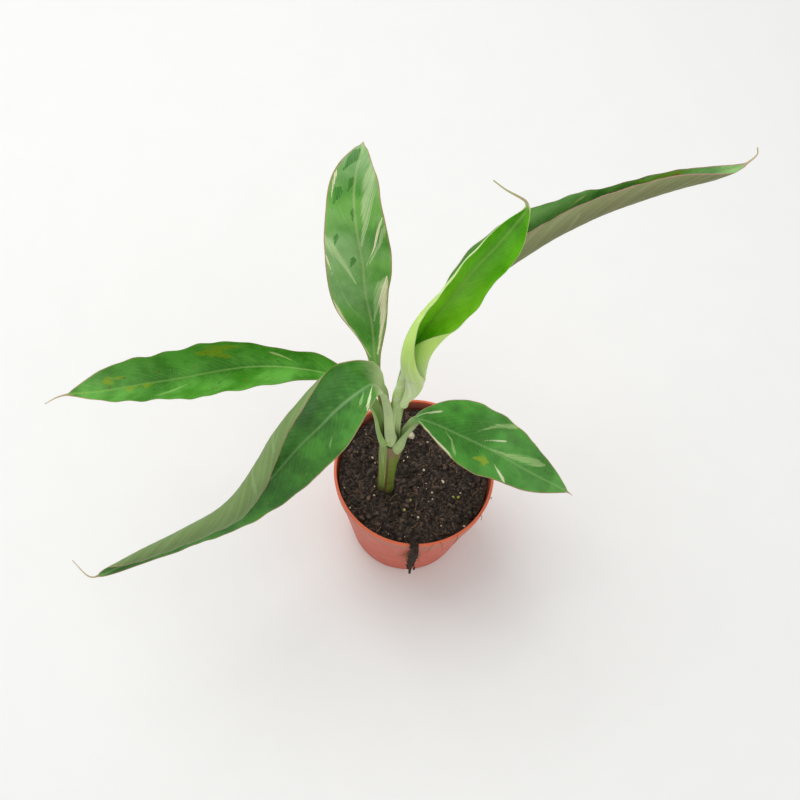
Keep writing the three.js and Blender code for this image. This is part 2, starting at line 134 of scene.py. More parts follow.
# One row per leaf, oldest first, with the same paths and widths as the solid it replaces.
# points: the midrib's path from inside the stem to the end of the thread.
# stalk, thread: lengths of the two bare ends. stalk_half: half the width of the stalk.
# face: which way the upper surface looks, at even steps from base to tip.
# right, left: half widths along the blade. lift, curl: how each half leaves the midrib and turns up.
# hold: where it is given and above 1, the right half turns only in its outer part.
# ripple: height and length of the waves along the margins.
# flecks, bloom and sheen, spots: how much of the leaf carries thin pale streaks, a grey-green
# painted sheen over the waxy bloom, and rusty dots, from 0 to 1.
# streaks: kind, side and width, then places on that half, each as its length from the path's start
# and from the midrib.
LEAVES = [
    {
        "name": "leaf_lower_right",
        "points": [
            (-15, -15, 150), (-13, -15, 168), (-12, -13, 179), (-8, -9, 188), (-3, -5, 192),
            (5, -5, 191), (27, -8, 185), (50, -10, 175), (81, -13, 157), (110, -14, 139),
            (115, -15, 136),
        ],
        "stalk": 46,
        "thread": 5,
        "stalk_half": 3.6,
        "face": [(-0.4, 0.2, 0.1), (-0.6, 0, 1), (0, -0.3, 1), (0.1, -0.3, 1), (0.25, -0.25, 1)],
        "right": [4, 12, 19, 22, 19, 16.5, 13.5, 8, 1],
        "left": [6, 22, 30, 30.5, 29, 25, 19, 11, 1],
        "right_lift": [10, 10, 8, 5, 0],
        "left_lift": [-10, -10, -10, -8, 0],
        "right_curl": [10, 10, 5, 0, 0],
        "left_curl": [-15, -20, -15, -5, 0],
        "ripple": (0.5, 24),
        "flecks": 0.3,
        "bloom": 0.15,
        "spots": 0.6,
        "colours": {
            "deep": "#367d1a", "mid": "#48962c", "pale": "#a3c47c", "cream": "#e2e6bc",
            "midrib": "#7cad58", "margin": "#b07c66", "stalk": "#a3b97c", "under": "#7d9a70",
            "under_pale": "#9cb38a", "under_dark": "#647f56",
        },
        "streaks": [
            ("pale", "left", 5.5, (104, 0.5), (118, 2.5), (135, 7), (150, 10)),
            ("pale", "left", 3.4, (90, 8), (104, 19), (122, 28)),
            ("cream", "left", 1, (94, 3), (115, 12)),
            ("cream", "left", 1.8, (47, 3), (62, 12)),
            ("pale", "right", 2.2, (68, 2), (74, 6), (80, 16)),
            ("cream", "right", 2.2, (110, 8), (123, 16)),
            ("cream", "right", 3, (47, 2), (59, 10.5), (78, 18.5)),
            ("rust", "right", 6, (93, 11), (104, 9)),
        ],
    },
    {
        "name": "leaf_left",
        "points": [
            (-22, -13, 150), (-28, -12, 179), (-31, -9, 195), (-37, -6, 207), (-47, -2, 215),
            (-57, 1, 219), (-68, 2, 221), (-100, 1, 221), (-124, -2, 217), (-147, -7, 210),
            (-171, -13, 202), (-196, -18, 193), (-220, -23, 184), (-252, -27, 171),
            (-263, -32, 164),
        ],
        "stalk": 80,
        "thread": 20,
        "stalk_half": 4,
        "face": [(1, -0.2, 0.1), (-0.3, 0, 1), (0, -0.3, 1), (0, -0.3, 1), (0, -0.2, 1)],
        "right": [4, 14, 16, 28, 30, 27, 23, 14, 1],
        "left": [4, 18, 28, 31, 31, 26, 19, 9, 1],
        "right_lift": [20, 20, 20, 20, 10],
        "left_lift": [20, 20, 20, 20, 10],
        "right_curl": [60, 70, 75, 60, 20],
        "left_curl": [60, 55, 60, 50, 20],
        "ripple": (0.7, 31),
        "flecks": 0.05,
        "bloom": 0.1,
        "spots": 1.0,
        "colours": {
            "deep": "#428a1e", "mid": "#62a83e", "pale": "#93c46c", "cream": "#dfe3a8",
            "midrib": "#82b84c", "margin": "#b98a72", "stalk": "#94b266", "under": "#8f9a6a",
            "under_pale": "#a9ae84", "under_dark": "#75804f",
        },
        "streaks": [
            ("rust", "right", 10, (150, 18), (182, 16)),
            ("rust", "right", 6, (160, 8), (170, 14)),
            ("rust", "right", 5, (240, 8), (257, 6)),
            ("rust", "left", 4, (232, 1), (240, 2)),
            ("rust", "left", 4, (219, 1), (227, 2)),
            ("cream", "right", 2, (122, 5), (137, 11)),
            ("pale", "left", 2.4, (190, 4), (216, 15)),
        ],
    },
    {
        "name": "leaf_back",
        "points": [
            (-22, -11, 155), (-26, -8, 187), (-31, 0, 205), (-38, 13, 218), (-46, 34, 243),
            (-53, 44, 263), (-58, 55, 283), (-64, 65, 300), (-68, 74, 312), (-70, 81, 319),
            (-71, 93, 330), (-70, 105, 336), (-70, 111, 337),
        ],
        "stalk": 66,
        "thread": 2,
        "stalk_half": 2.2,
        "face": [(0, -1, 0.1), (0, -0.8, 0.6), (0, -0.7, 1), (0, -0.6, 1), (0, -0.3, 1)],
        "right": [2.4, 5.5, 11, 15.5, 19.5, 20, 18, 14.5, 2],
        "left": [2.4, 6, 16, 22.5, 24.5, 22.5, 18.5, 14.5, 3],
        "right_lift": [12, 10, 8, 5, 0],
        "left_lift": [12, 10, 8, 5, 0],
        "right_curl": [20, 10, 5, 0, 0],
        "left_curl": [20, 10, 5, 0, 0],
        "ripple": (0.4, 22),
        "flecks": 0.7,
        "bloom": 0.6,
        "spots": 0.1,
        "colours": {
            "deep": "#4a9128", "mid": "#6aa446", "pale": "#b3cc95", "cream": "#f4ebc8",
            "midrib": "#9fbd74", "margin": "#b8705c", "stalk": "#98a04e", "under": "#8aa877",
            "under_pale": "#a9bd93", "under_dark": "#6d8b5a",
        },
        "streaks": [
            ("pale", "right", 8, (165, 1.5), (180, 6), (200, 9), (222, 9)),
            ("pale", "right", 3, (152, 4.5), (166, 14), (178, 18.5)),
            ("cream", "right", 1.6, (150, 2), (164, 10), (184, 17.5)),
            ("pale", "right", 6, (108, 2), (124, 7), (142, 14)),
            ("cream", "right", 5, (84, 2.5), (100, 6), (124, 11), (143, 15.5)),
            ("cream", "left", 2.2, (82, 2.5), (109, 16.5), (130, 21.5)),
            ("pale", "left", 4.6, (138, 5.5), (159, 14), (177, 21.5)),
            ("cream", "left", 1.6, (198, 14.5), (214, 12.5)),
            ("cream", "left", 1, (146, 20.5), (166, 23)),
            ("dark", "left", 5, (195, 13), (204, 9)),
            ("dark", "left", 3.5, (202, 4), (211, 1)),
            ("dark", "left", 6, (215, 8), (229, 1)),
            ("dark", "left", 3, (183, 2), (191, 0.5)),
            ("dark", "left", 3.5, (151, 8), (158, 5)),
            ("dark", "left", 2.6, (169, 16), (176, 13)),
        ],
    },
    {
        "name": "leaf_front",
        "points": [
            (-20, -14, 155), (-22, -14, 184), (-25, -12, 214), (-30, -11, 236), (-37, -13, 247),
            (-46, -22, 248), (-57, -35, 245), (-66, -48, 240), (-76, -60, 233), (-92, -82, 219),
            (-114, -103, 201), (-142, -117, 181), (-171, -128, 159), (-197, -139, 139),
            (-206, -140, 133), (-221, -130, 131),
        ],
        "stalk": 96,
        "thread": 26,
        "stalk_half": 4.5,
        "face": [(0.7, 0.6, 0.1), (0.2, 0.05, 1), (-0.2, -0.5, 1), (0, -0.4, 1), (0, -0.3, 1)],
        "right": [17, 33, 38, 38, 34, 28, 21, 12, 1],
        "left": [9, 20, 23, 21, 16, 11, 8, 5, 1],
        "right_lift": [10, 5, 5, 0, 0, 0, 0, 0, 0],
        "left_lift": [-5, -8, -16, -26, -32, -34, -30, -20, 0],
        "right_curl": [0, 145, 190, 232, 280, 290, 280, 220, 40],
        "left_curl": [0, -10, -15, -15, -10, -10, -5, 0, 0],
        "hold": [2.2, 2, 1.6, 1.2, 1, 1, 1, 1, 1],
        "ripple": (0.5, 26),
        "flecks": 0.05,
        "bloom": 0.05,
        "spots": 0.15,
        "colours": {
            "deep": "#2f6c1a", "mid": "#478a2c", "pale": "#8fb86e", "cream": "#dfe6bd",
            "midrib": "#7cab62", "margin": "#b08a70", "stalk": "#b4c88e", "under": "#768f56",
            "under_pale": "#88a069", "under_dark": "#5c7340",
        },
        "streaks": [
            ("cream", "left", 2, (96, 1), (110, 13.5)),
            ("pale", "left", 2, (104, 2), (112, 8)),
            ("pale", "left", 1.4, (138, 8), (147, 15)),
            ("pale", "right", 3, (180, 14), (200, 34)),
            ("pale", "right", 2, (150, 16), (172, 36)),
        ],
    },
    {
        "name": "leaf_right",
        "points": [
            (-20, -11, 155), (-19, -5, 197), (-18, 3, 230), (-15, 12, 254), (-8, 20, 272),
            (1, 29, 285), (9, 37, 293), (18, 47, 302), (28, 57, 309), (41, 68, 315),
            (55, 80, 319), (69, 90, 323), (87, 103, 325), (111, 118, 326), (136, 134, 324),
            (159, 147, 322), (177, 159, 320), (182, 164, 320), (186, 169, 322), (185, 172, 325),
        ],
        "stalk": 98,
        "thread": 16,
        "stalk_half": 4,
        "face": [(0.4, -1, 0.1), (0, -1, 0.4), (0, -0.5, 1), (0, -0.3, 1), (0, -0.2, 1)],
        "right": [5, 18, 25, 27, 27, 25, 22, 16, 1],
        "left": [5, 14.5, 26.5, 29.5, 24.5, 15, 10.5, 6.5, 1],
        "right_lift": [0, 0],
        "left_lift": [30, 28, 25, 27, 30, 30, 25, 20, 10],
        "right_curl": [60, 120, 200, 205, 205, 200, 190, 150, 60],
        "left_curl": [50, 58, 55, 57, 60, 60, 50, 40, 20],
        "ripple": (0.5, 25),
        "flecks": 0.25,
        "bloom": 0.3,
        "spots": 0.2,
        # Painted light: the upper colours are lighter than this leaf's own green, to make up for the
        # shade inside its curled halves.
        "colours": {
            "deep": "#68a850", "mid": "#8cc06c", "pale": "#b0c86a", "cream": "#e0e0a0",
            "midrib": "#94b070", "margin": "#bf8088", "stalk": "#a3b67c", "under": "#7d8457",
            "under_pale": "#8f976c", "under_dark": "#6c5c46",
        },
        "streaks": [
            ("cream", "left", 2, (243, 8), (255, 13)),
            ("pale", "left", 3, (268, 10), (284, 11), (302, 7)),
            ("pale", "left", 3, (196, 4), (214, 15)),
            ("rust", "left", 5, (270, 7), (330, 5)),
            ("pale", "right", 3, (170, 12), (192, 26)),
            ("pale", "right", 2, (226, 10), (246, 22)),
        ],
    },
    {
        "name": "leaf_new",
        "points": [
            (-20, -13, 155), (-19, -12, 198), (-20, -9, 229), (-18, -5, 256), (-15, 0, 278),
            (-9, 6, 297), (-2, 13, 312), (7, 20, 330), (15, 28, 345), (25, 37, 359),
            (33, 46, 371), (38, 52, 381), (37, 54, 384), (34, 54, 387), (23, 55, 392),
            (15, 57, 396),
        ],
        "stalk": 72,
        "thread": 28,
        "stalk_half": 4,
        "face": [
            (0.4, -1, 0.3), (0.8, -0.5, 0.5), (0.8, -0.5, 0.5), (0.3, -0.7, 0.6),
            (0.1, -0.8, 0.6), (0, -0.8, 0.6), (0, -1, 0.6),
        ],
        "right": [18, 34, 35, 33, 28, 23, 20, 17, 1],
        "left": [9, 15, 34, 34, 24, 19, 17, 14, 1],
        "right_lift": [0, 0],
        "left_lift": [0, 0],
        "right_curl": [258, 258, 258, 235, 150, 105, 98, 90, 60],
        "left_curl": [217, 217, 195, 150, 112, 105, 98, 90, 60],
        "ripple": (0.4, 26),
        "flecks": 0.05,
        "bloom": 0.0,
        "spots": 0.0,
        "colours": {
            "deep": "#4d990f", "mid": "#61aa1a", "pale": "#93cc4c", "cream": "#d8e8a4",
            "midrib": "#8cc04a", "margin": "#b4c486", "stalk": "#a6bd7c", "under": "#c6e096",
            "under_pale": "#e2f0cc", "under_dark": "#a9d05c",
        },
        "streaks": [
            ("pale", "right", 2, (150, 10), (175, 26)),
            ("pale", "left", 2, (170, 8), (190, 22)),
        ],
    },
]


def linear(colour):
    """An sRGB hex colour as linear red, green, blue and full alpha."""
    parts = np.array([int(colour[i:i + 2], 16) / 255 for i in (1, 3, 5)])
    curved = ((parts + 0.055) / 1.055) ** 2.4
    flat = parts / 12.92
    return (*np.where(parts <= 0.04045, flat, curved).tolist(), 1.0)


def connect(tree, node, inputs):
    """Sets inputs of a node to values, or links them to a socket or to a node's first output."""
    for key, value in inputs.items():
        if isinstance(value, bpy.types.Node):
            value = value.outputs[0]
        if isinstance(value, bpy.types.NodeSocket):
            tree.links.new(value, node.inputs[key])
        else:
            node.inputs[key].default_value = value


def add(tree, kind, settings=None, inputs=None, ramp=None):
    """Adds a node: its settings, its inputs as connect takes them, and the stops of its ramp."""
    node = tree.nodes.new(kind)
    for key, value in (settings or {}).items():
        setattr(node, key, value)
    connect(tree, node, inputs or {})
    if ramp:
        stops = node.color_ramp.elements
        while len(stops) < len(ramp):
            stops.new(0.5)
        for stop, (position, colour) in zip(stops, ramp):
            stop.position = position
            stop.color = linear(colour)
    return node


def coated(tree, colour, layers, ranges, limits, shade):
    """A base colour with others laid over it in turn, then made lighter or darker by shade.

    Each layer names its mask and its colour, which is an sRGB hex value or already linear. ranges
    has for each mask a value, where it begins and ends to count, and the layer's share at both.
    limits names the second mask that narrows a first one.
    """
    for key, over in layers:
        mask = add(tree, "ShaderNodeMapRange", SMOOTH, dict(enumerate(ranges[key])))
        if key in limits:
            limit = add(tree, "ShaderNodeMapRange", SMOOTH, dict(enumerate(ranges[limits[key]])))
            mask = add(tree, "ShaderNodeMath", MULTIPLY, {0: mask, 1: limit})
        over = linear(over) if isinstance(over, str) else over
        colour = add(tree, "ShaderNodeMix", RGBA, {0: mask, 6: colour, 7: over}).outputs[2]
    return add(tree, "ShaderNodeVectorMath", SCALE, {0: colour, "Scale": shade})


def new_material(name):
    """An empty node material and its shader."""
    material = bpy.data.materials.new(name)
    material.use_nodes = True
    tree = material.node_tree
    return material, tree, tree.nodes["Principled BSDF"]


def new_piece(name, points, faces, materials, fields=None, slots=None):
    """A smooth-shaded object at the origin, from points in mm and arrays of faces.

    Each array of faces holds faces of one size. fields holds one vector per point for each name,
    and slots the material slot of each face.
    """
    mesh = bpy.data.meshes.new(name)
    corners = np.concatenate([group.ravel() for group in faces]).astype(np.int32)
    sizes = np.concatenate([np.full(len(group), group.shape[1]) for group in faces])
    starts = np.concatenate([[0], np.cumsum(sizes)[:-1]]).astype(np.int32)
    mesh.vertices.add(len(points))
    mesh.vertices.foreach_set("co", (np.asarray(points) * MM).astype(np.float32).ravel())
    mesh.loops.add(len(corners))
    mesh.loops.foreach_set("vertex_index", corners)
    mesh.polygons.add(len(sizes))
    mesh.polygons.foreach_set("loop_start", starts)
    for material in materials:
        mesh.materials.append(material)
    if slots is not None:
        mesh.polygons.foreach_set("material_index", np.asarray(slots, dtype=np.int32))
    for field, values in (fields or {}).items():
        attribute = mesh.attributes.new(field, "FLOAT_VECTOR", "POINT")
        attribute.data.foreach_set("vector", np.asarray(values, dtype=np.float32).ravel())
    mesh.update(calc_edges=True)
    mesh.shade_smooth()
    piece = bpy.data.objects.new(name, mesh)
    bpy.context.scene.collection.objects.link(piece)
    return piece


def grid_faces(rows, columns, closed=True):
    """Quads of a grid numbered row by row, joined round when closed."""
    wide = columns if closed else columns - 1
    k, j = np.meshgrid(np.arange(rows - 1), np.arange(wide), indexing="ij")
    k = k.ravel()
    j = j.ravel()
    nxt = (j + 1) % columns
    low = k * columns
    high = low + columns
    return np.stack([low + j, low + nxt, high + nxt, high + j], axis=1)


def fan_faces(ring, centre, forward):
    """Triangles from a ring of point numbers to one centre point."""
    after = np.roll(ring, -1)
    middle = np.full(len(ring), centre)
    pair = (ring, after) if forward else (after, ring)
    return np.stack([pair[0], pair[1], middle], axis=1)


def circle(count):
    """Angles evenly round one turn."""
    return 2 * np.pi * np.arange(count) / count


def closed_faces(rows, columns):
    """Quads of a closed grid, and a fan at each end to the two points that follow the grid."""
    count = rows * columns
    ring = np.arange(columns)
    return [
        grid_faces(rows, columns),
        fan_faces(ring, count, False),
        fan_faces(count - columns + ring, count + 1, True),
    ]


def copied(groups, count, size):
    """Faces of one form repeated for count forms, each of size points."""
    shift = (np.arange(count) * size)[:, None, None]
    return [(group[None] + shift).reshape(-1, group.shape[1]) for group in groups]


def smoothstep(low, high, values):
    """0 below low, 1 above high, and a smooth rise between."""
    t = np.clip((values - low) / (high - low), 0, 1)
    return t * t * (3 - 2 * t)


def unit(vectors):
    """Vectors brought to length one."""
    return vectors / np.maximum(np.linalg.norm(vectors, axis=-1, keepdims=True), 1e-9)


def along(values, t):
    """A smooth curve through evenly spaced values, read at t from 0 to 1."""
    knots = np.array(values, dtype=float)
    knots = np.concatenate([[2 * knots[0] - knots[1]], knots, [2 * knots[-1] - knots[-2]]])
    last = len(values) - 1
    x = np.clip(t, 0, 1) * last
    i = np.minimum(x.astype(int), last - 1)
    f = x - i
    p0, p1, p2, p3 = (knots[i + n] for n in range(4))
    bend = 2 * p0 - 5 * p1 + 4 * p2 - p3
    twist = 3 * p1 - p0 - 3 * p2 + p3
    return 0.5 * (2 * p1 + (p2 - p0) * f + bend * f * f + twist * f ** 3)


def smooth_path(points, per=16):
    """A centripetal Catmull-Rom curve: close samples of it and the length run to each.

    Each stretch between two points is the usual pyramid of weighted means of four points, with
    knots spaced by the square root of the distance.
    """
    p = np.array(points, dtype=float)
    p = np.vstack([2 * p[0] - p[1], p, 2 * p[-1] - p[-2]])
    p0, p1, p2, p3 = (p[n:len(p) - 3 + n][:, None, :] for n in range(4))
    t1 = np.sqrt(np.linalg.norm(p1 - p0, axis=2, keepdims=True))
    t2 = t1 + np.sqrt(np.linalg.norm(p2 - p1, axis=2, keepdims=True))
    t3 = t2 + np.sqrt(np.linalg.norm(p3 - p2, axis=2, keepdims=True))
    t = t1 + (t2 - t1) * (np.arange(per) / per)[None, :, None]
    a1 = ((t1 - t) * p0 + t * p1) / t1
    a2 = ((t2 - t) * p1 + (t - t1) * p2) / (t2 - t1)
    a3 = ((t3 - t) * p2 + (t - t2) * p3) / (t3 - t2)
    b1 = ((t2 - t) * a1 + t * a2) / t2
    b2 = ((t3 - t) * a2 + (t - t1) * a3) / (t3 - t1)
    dense = (((t2 - t) * b1 + (t - t1) * b2) / (t2 - t1)).reshape(-1, 3)
    dense = np.vstack([dense, p[-2]])
    run = np.concatenate([[0], np.cumsum(np.linalg.norm(np.diff(dense, axis=0), axis=1))])
    return dense, run


def point_at(path, s):
    """Points of a sampled path at lengths s from its start."""
    dense, run = path
    s = np.clip(s, 0, run[-1])
    return np.stack([np.interp(s, run, dense[:, k]) for k in range(3)], axis=-1)


def lathe(profile, segments):
    """A profile of (radius, height) turned round the Z axis: a grid of points, row by row."""
    profile = np.array(profile, dtype=float)
    turn = circle(segments)
    r = profile[:, 0][:, None]
    z = np.repeat(profile[:, 1][:, None], segments, axis=1)
    points = np.stack([r * np.cos(turn), r * np.sin(turn), z], axis=-1)
    return points.reshape(-1, 3)


def rounded(profile, radius, steps=5):
    """A profile whose inner corners are cut back and replaced by short parabolic arcs."""
    p = np.array(profile, dtype=float)
    before = p[1:-1] - p[:-2]
    after = p[2:] - p[1:-1]
    room_before = np.linalg.norm(before, axis=1, keepdims=True)
    room_after = np.linalg.norm(after, axis=1, keepdims=True)
    cut = np.minimum(radius, 0.42 * np.minimum(room_before, room_after))
    start = p[1:-1] - before / room_before * cut
    end = p[1:-1] + after / room_after * cut
    lead = p[1:-1] - before / room_before * np.minimum(2 * cut, 0.49 * room_before)
    trail = p[1:-1] + after / room_after * np.minimum(2 * cut, 0.49 * room_after)
    t = np.linspace(0, 1, steps)[None, :, None]
    arc = (1 - t) ** 2 * start[:, None] + 2 * t * (1 - t) * p[1:-1][:, None] + t * t * end[:, None]
    corner = np.concatenate([lead[:, None], arc, trail[:, None]], axis=1)
    return np.vstack([p[:1], corner.reshape(-1, 2), p[-1:]])


def lumps(centres, sizes, seed, rough=0.22):
    """Many small uneven stones in one mesh.

    Each is a coarse ball of 4 rings of 8 points and two poles, stretched by its three sizes, with
    every point moved in or out a little and the whole turned to a random attitude.
    """
    rng = np.random.default_rng(seed)
    count = len(centres)
    rise = np.pi * (np.arange(1, 5) / 5 - 0.5)
    ball = lathe(np.column_stack([np.cos(rise), np.sin(rise)]), 8)
    ball = np.vstack([ball, [0, 0, -1], [0, 0, 1]])
    shape = ball[None] * (1 + rng.uniform(-rough, rough, (count, len(ball), 1)))
    shape = shape * np.asarray(sizes)[:, None, :]
    tilt = rng.normal(0, 0.35, (count, 2))
    spin = rng.uniform(0, 2 * np.pi, count)
    up = unit(np.stack([tilt[:, 0], tilt[:, 1], np.ones(count)], axis=1))
    side = unit(np.cross(up, np.stack([np.cos(spin), np.sin(spin), np.zeros(count)], axis=1)))
    axes = np.stack([side, np.cross(up, side), up], axis=1)
    points = np.einsum("nvk,nkc->nvc", shape, axes) + np.asarray(centres)[:, None, :]
    return points.reshape(-1, 3), copied(closed_faces(4, 8), count, len(ball))


def strands(paths, radii, sides=5):
    """Many thin tubes in one mesh: a ring of points stands across each path at every step."""
    paths = np.asarray(paths, dtype=float)
    count, steps = paths.shape[:2]
    tangent = unit(np.gradient(paths, axis=1))
    helper = np.where(np.abs(tangent[..., 2:]) > 0.8, [1.0, 0.0, 0.0], [0.0, 0.0, 1.0])
    side = unit(np.cross(tangent, helper))
    up = np.cross(side, tangent)
    turn = circle(sides)
    ring = side[:, :, None] * np.cos(turn)[:, None] - up[:, :, None] * np.sin(turn)[:, None]
    points = paths[:, :, None] + np.asarray(radii)[:, :, None, None] * ring
    skin = grid_faces(steps, sides)[:, ::-1]
    low = np.arange(sides)[None]
    high = (steps - 1) * sides + np.arange(sides)[::-1][None]
    return points.reshape(-1, 3), copied((skin, low, high), count, steps * sides)


def outward(piece):
    """Recalculates the normals of a closed piece after its doubles are merged."""
    form = bmesh.new()
    form.from_mesh(piece.data)
    bmesh.ops.remove_doubles(form, verts=form.verts, dist=2e-6)
    bmesh.ops.recalc_face_normals(form, faces=form.faces)
    form.to_mesh(piece.data)
    form.free()


def soil_height(x, y):
    """Height of the soil's top: two crossed waves, and a mound round the stem."""
    r = np.hypot(x, y) / RIM_RADIUS
    waves = np.sin(x * 0.31 + 1.3) * np.cos(y * 0.27 - 0.4)
    small = np.sin(x * 0.83 - y * 0.57 + 2) * np.cos(y * 0.91 + x * 0.36)
    mound = STEM_MOUND * np.exp(-((x - STEM_X) ** 2 + (y - STEM_Y) ** 2) / 220)
    return SOIL_TOP + SOIL_RELIEF * (0.6 * waves + 0.4 * small) * (1 - 0.5 * r) + mound


def crumb_relief(x, y, crumbs, seed):
    """Rise of the soil over its mean height: the highest of many round crumbs at each point."""
    rng = np.random.default_rng(seed)
    spread = 58.0
    lowest = -0.9
    batch = 250
    angle = rng.uniform(0, 2 * np.pi, crumbs)
    r = spread * np.sqrt(rng.uniform(0, 1, crumbs))
    size = np.clip(rng.lognormal(0.3, 0.45, crumbs), 0.7, 4.0)
    sunk = size * rng.uniform(0.25, 0.9, crumbs)
    cx = r * np.cos(angle)
    cy = r * np.sin(angle)
    rise = np.full(x.shape, lowest)
    for start in range(0, crumbs, batch):
        part = slice(start, start + batch)
        far = (x[..., None] - cx[part]) ** 2 + (y[..., None] - cy[part]) ** 2
        ball = np.sqrt(np.maximum(size[part] ** 2 - far, 0)) - sunk[part]
        rise = np.maximum(rise, np.where(far < size[part] ** 2, ball, lowest).max(axis=-1))
    return rise


def stem_outline(turn, z, grow=0.0):
    """The stem's uneven oval at height z: a swelling radius and two low waves round it."""
    t = (z - STEM_BOTTOM) / (STEM_TOP - STEM_BOTTOM)
    swell = along([0.9, 1.12, 1.06, 0.98, 0.98, 1.02, 0.86], np.asarray(t, dtype=float))
    lap = 0.45 * np.cos(turn - 3.4) + 0.35 * np.cos(2 * turn + 0.4)
    r = STEM_RADIUS * swell + lap + grow
    x = STEM_X + STEM_LEAN * t + 1.12 * r * np.cos(turn)
    y = STEM_Y + 0.96 * r * np.sin(turn)
    return x, y


def leaf_form(leaf, thickness, ripple, vein_spacing, vein_depth):
    """A leaf's two faces as grids of points, with where each point lies on the leaf.

    The midrib follows the path. At each station a half leaf starts at its lift angle and turns
    by its curl as it runs out to the margin, so a section is a curve of known length. The upper
    face is that curve. The lower face lies under it by the blade's thickness, which rounds off
    to nothing at the margin, and by the depth of the midrib or stalk.
    """
    path = smooth_path(leaf["points"])
    length = path[1][-1]
    stalk = leaf["stalk"]
    thread = leaf["thread"]
    wave_height, wave_length = leaf["ripple"]
    blade = length - stalk - thread
    t = np.linspace(0, 1, BLADE_STATIONS + 1)
    even = 0.5 * (t + 0.5 * (1 - np.cos(np.pi * t)))
    s = np.concatenate([
        np.linspace(0, stalk, STALK_STATIONS, endpoint=False),
        stalk + blade * even,
        length - thread * (1 - np.arange(1, THREAD_STATIONS + 1) / THREAD_STATIONS),
    ])
    q = np.clip((s - stalk) / blade, 0, 1)
    # 1 on the stalk and falling to 0 where the blade begins.
    bare = 1 - smoothstep(stalk * 6 / 7, stalk, s)
    bare_end = smoothstep(length - thread - 3, length - thread + 3, s)
    # The foot of the stalk narrows and thins where it goes into the stem, and flares above that.
    tucked = FOOT_SHARE + (1 - FOOT_SHARE) * smoothstep(0, FOOT_LENGTH, s)
    flare = smoothstep(0, FLARE_FULL, s) - smoothstep(FLARE_FADES, FLARE_END, s)

    middle = point_at(path, s)
    tangent = unit(point_at(path, s + 1) - point_at(path, s - 1))
    face = np.stack([along([v[k] for v in leaf["face"]], s / length) for k in range(3)], axis=1)
    normal = unit(face - (face * tangent).sum(axis=1, keepdims=True) * tangent)
    across = np.cross(tangent, normal)

    n = HALF_COLUMNS
    v = np.arange(n + 1) / n
    mid_v = (np.arange(n) + 0.5) / n
    parts = {}
    for side, sign in (("left", -1), ("right", 1)):
        half = np.maximum(along(leaf[side], q), THREAD_RADIUS)
        half = half * (1 - bare) + (leaf["stalk_half"] + STALK_FLARE * flare) * tucked * bare
        taper = THREAD_RADIUS * (1 - 0.5 * smoothstep(length - thread, length, s))
        half = half * (1 - bare_end) + taper * bare_end
        lift = along(leaf[side + "_lift"], q) * (1 - bare) + STALK_LIFT * bare
        curl = along(leaf[side + "_curl"], q)
        curl = curl * (1 - bare) + (STALK_CURL + FLARE_CURL * flare) * bare
        curl = np.where(bare_end > 0.5, np.clip(curl, -THREAD_CURL, THREAD_CURL), curl)
        hold = along(leaf.get("hold", [1, 1]), q) if side == "right" else np.ones(len(s))
        turned = np.radians(lift[:, None] + curl[:, None] * mid_v ** hold[:, None])
        here = np.radians(lift[:, None] + curl[:, None] * v ** hold[:, None])
        zero = np.zeros((len(s), 1))
        x = half[:, None] / n * np.hstack([zero, np.cumsum(np.cos(turned), axis=1)])
        y = half[:, None] / n * np.hstack([zero, np.cumsum(np.sin(turned), axis=1)])
        out = normal[:, None] * np.cos(here)[..., None]
        out = out - sign * across[:, None] * np.sin(here)[..., None]
        out[:, 0] = normal
        place = middle[:, None] + sign * across[:, None] * x[..., None]
        place = place + normal[:, None] * y[..., None]
        reach = half[:, None] * v

        # Veins leave the midrib slanting forward, more so near the margin and near the tip.
        slant = (1.0 + 1.3 * v) * (0.6 + 0.8 * q[:, None] ** 0.6)
        vein = s[:, None] - reach * slant
        on_blade = (1 - bare)[:, None] * (1 - bare_end)[:, None]
        # The waves of the margin: one length, a shorter one over it, and both drifting.
        drift = 1.4 * np.sin(2 * np.pi * s / (3.7 * wave_length) + sign)
        swing = np.sin(2 * np.pi * s / wave_length + 1.7 * sign + drift)
        swing = swing + 0.5 * np.sin(2 * np.pi * s / (0.61 * wave_length) + sign - drift)
        wave = ripple * wave_height * (swing * np.sin(np.pi * q))[:, None] * v ** 3
        ridges = vein_depth * np.cos(2 * np.pi * vein / (2 * vein_spacing)) * (v * (1 - v) * 4) ** 0.5
        groove = -GROOVE_DEPTH * np.exp(-(reach / GROOVE_HALF_WIDTH) ** 2) * (1 - 0.7 * q[:, None])
        relief = (wave + ridges + groove) * on_blade

        round_off = np.sqrt(np.maximum(1 - v ** 6, 0))
        stalkward = smoothstep(0, 0.12, q)
        depth = STALK_DEPTH * tucked * (1 - stalkward) + MIDRIB_DEPTH * (1 - 0.75 * q) * stalkward
        under_rib = np.minimum(1, reach / MIDRIB_HALF_WIDTH)
        under_rib = (1 - under_rib ** 2) * (1 - bare)[:, None] + (1 - v ** 2) * bare[:, None]
        depth = depth[:, None] * under_rib * (1 - bare_end)[:, None]
        sheet = thickness + STALK_WALL * bare[:, None]
        sheet = sheet * (1 - bare_end)[:, None] + 2 * half[:, None] * bare_end[:, None]
        top = relief - 0.5 * sheet * (1 - round_off)
        bottom = relief - 0.5 * sheet * (1 + round_off) - depth
        columns = slice(None, 0, -1) if sign < 0 else slice(None)
        parts[side] = {
            "upper": (place + out * top[..., None])[:, columns],
            "lower": (place + out * bottom[..., None])[:, columns],
            "out": out[:, columns],
            "vein": vein[:, columns],
            "reach": (sign * reach)[:, columns],
            "margin": (half[:, None] * (1 - v))[:, columns],
        }
    form = {key: np.concatenate([parts["left"][key], parts["right"][key]], axis=1)
            for key in parts["left"]}
    form["s"] = np.broadcast_to(s[:, None], form["reach"].shape)
    form["past"] = form["s"] - stalk
    return form


